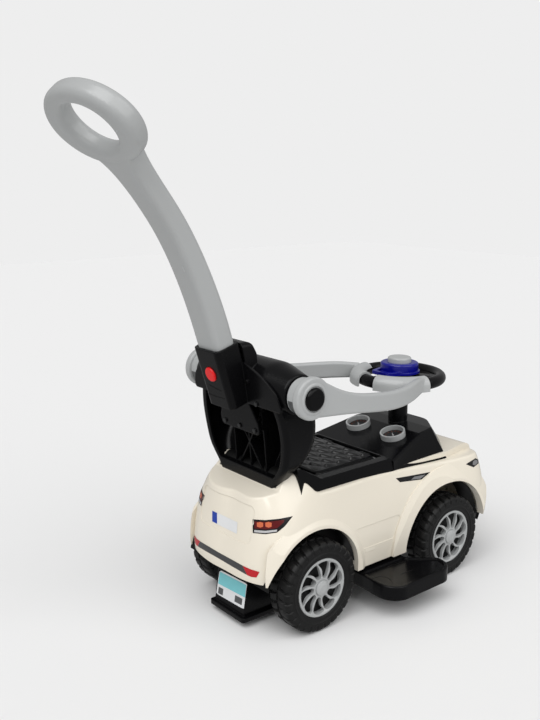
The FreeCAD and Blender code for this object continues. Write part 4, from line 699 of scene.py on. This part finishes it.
def quilt():
    """The seat's quilting: puffed diamonds, steep at the rear and falling to the front, like scales."""
    rows = int((QUILT_X[1] - QUILT_X[0]) / QUILT_STEP) + 1
    columns = int(2 * QUILT_HALF_W / QUILT_STEP) + 1
    points = []
    for row in range(rows):
        x = QUILT_X[0] + row * QUILT_STEP
        for column in range(columns):
            y = -QUILT_HALF_W + column * QUILT_STEP
            along_x = x / QUILT_DIAMOND[0]
            along_y = y / QUILT_DIAMOND[1]
            puff = 1.0
            for share in ((along_x + along_y) / 2 % 1.0, (along_x - along_y) / 2 % 1.0):
                puff *= min(share / QUILT_CREST, (1 - share) / (1 - QUILT_CREST)) ** QUILT_ROUND
            border = min(x - QUILT_X[0], QUILT_X[1] - x, QUILT_HALF_W - abs(y)) / QUILT_BORDER
            points.append(at(x, y, QUILT_Z + QUILT_RISE * puff * min(1.0, border)))
    piece("seat_quilt", points, grid_faces(rows, columns), QUILT_BLACK, "seat_lid")


DASH_SLOPE = math.radians(15.2)
GAUGE_AT = (95.0, 46.5, 274.6)
DIAL_LIFT = 2.3
TICKS = 11
TICK_SWEEP = 260.0
TICK_REACH = (13.0, 17.5)
TICK_W = 1.3
# Direction in degrees, start, end and width of the pointer and of its short crossbar.
POINTER = (-52, -3.0, 9.0, 1.2)
CROSSBAR = (38, -2.0, 2.0, 2.0)


def on_dial(side, right, up):
    """A place on the face of a gauge's dial."""
    x = GAUGE_AT[0] + up * math.cos(DASH_SLOPE) - DIAL_LIFT * math.sin(DASH_SLOPE)
    z = GAUGE_AT[2] + up * math.sin(DASH_SLOPE) + DIAL_LIFT * math.cos(DASH_SLOPE)
    return at(x, side * GAUGE_AT[1] - right, z)


def stroke(side, degrees, start, end, width):
    """Corners of a straight mark on a dial, along a line from its middle."""
    angle = math.radians(degrees)
    ray = Vector((math.sin(angle), math.cos(angle)))
    cross = Vector((ray.y, -ray.x)) * (width / 2)
    spots = [ray * start + cross, ray * end + cross, ray * end - cross, ray * start - cross]
    return [on_dial(side, *spot) for spot in spots]


def gauge_prints():
    """Ticks and a pointer on each gauge's dial."""
    for hand, side in SIDES.items():
        ticks = []
        for number in range(TICKS):
            ticks += stroke(side, (number / (TICKS - 1) - 0.5) * TICK_SWEEP, *TICK_REACH, TICK_W)
        faces = [tuple(range(4 * number, 4 * number + 4)) for number in range(TICKS)]
        piece("gauge_ticks_" + hand, ticks, faces, DIAL_MARK, "car", False)
        needle = stroke(side, *POINTER) + stroke(side, *CROSSBAR)
        faces = [(0, 1, 2, 3), (4, 5, 6, 7)]
        piece("gauge_needle_" + hand, needle, faces, FILM_SILVER, "car", False)


PIVOT = (-207.0, 420.0)
ARM_FACE_Y = 156.0
ARM_BARREL_R = 30.0
PATCH_LIFT = 0.25
PATCH_Y = (127.0, 141.0)
PATCH_ARC = (186.0, 264.0)
PATCH_STEPS = 24
COLLAR_STEPS = 72
COLLAR_SECTION = ((20.6, 0.2), (20.8, 1.2), (21.6, 1.7), (23.6, 1.7), (25.0, 1.1), (26.4, 0.1))


def hub_details():
    """The raised collar round each guard arm's cap, and a dark film over the lower rear of the hub behind it.
    """
    for hand, side in SIDES.items():
        points = []
        for step in range(COLLAR_STEPS):
            angle = 2 * math.pi * step / COLLAR_STEPS
            for radius, lift in COLLAR_SECTION:
                points.append(around(PIVOT, radius, angle, side * (ARM_FACE_Y + lift)))
        faces = turned_faces(COLLAR_STEPS, len(COLLAR_SECTION), False)
        piece("arm_collar_" + hand, points, faces, GREY, "guard_arm_" + hand)
        dark_patch = []
        radius = ARM_BARREL_R + PATCH_LIFT
        for reach in PATCH_Y:
            for column in range(PATCH_STEPS):
                share = column / (PATCH_STEPS - 1)
                angle = math.radians(PATCH_ARC[0] + (PATCH_ARC[1] - PATCH_ARC[0]) * share)
                dark_patch.append(around(PIVOT, radius, angle, side * reach))
        faces = grid_faces(len(PATCH_Y), PATCH_STEPS)
        piece("hub_dark_patch_" + hand, dark_patch, faces, FILM_DARK, "guard_arm_" + hand)


camera()
studio()
tail_lights()
bumper_band()
plates()
side_marks()
groove_shade_lines()
backrest_well_shade()
for wheel_end in ("rear", "front"):
    for wheel_hand in SIDES:
        tyre(wheel_end, wheel_hand)
        arch_shade_sheet(wheel_end, wheel_hand)
quilt()
gauge_prints()
hub_details()
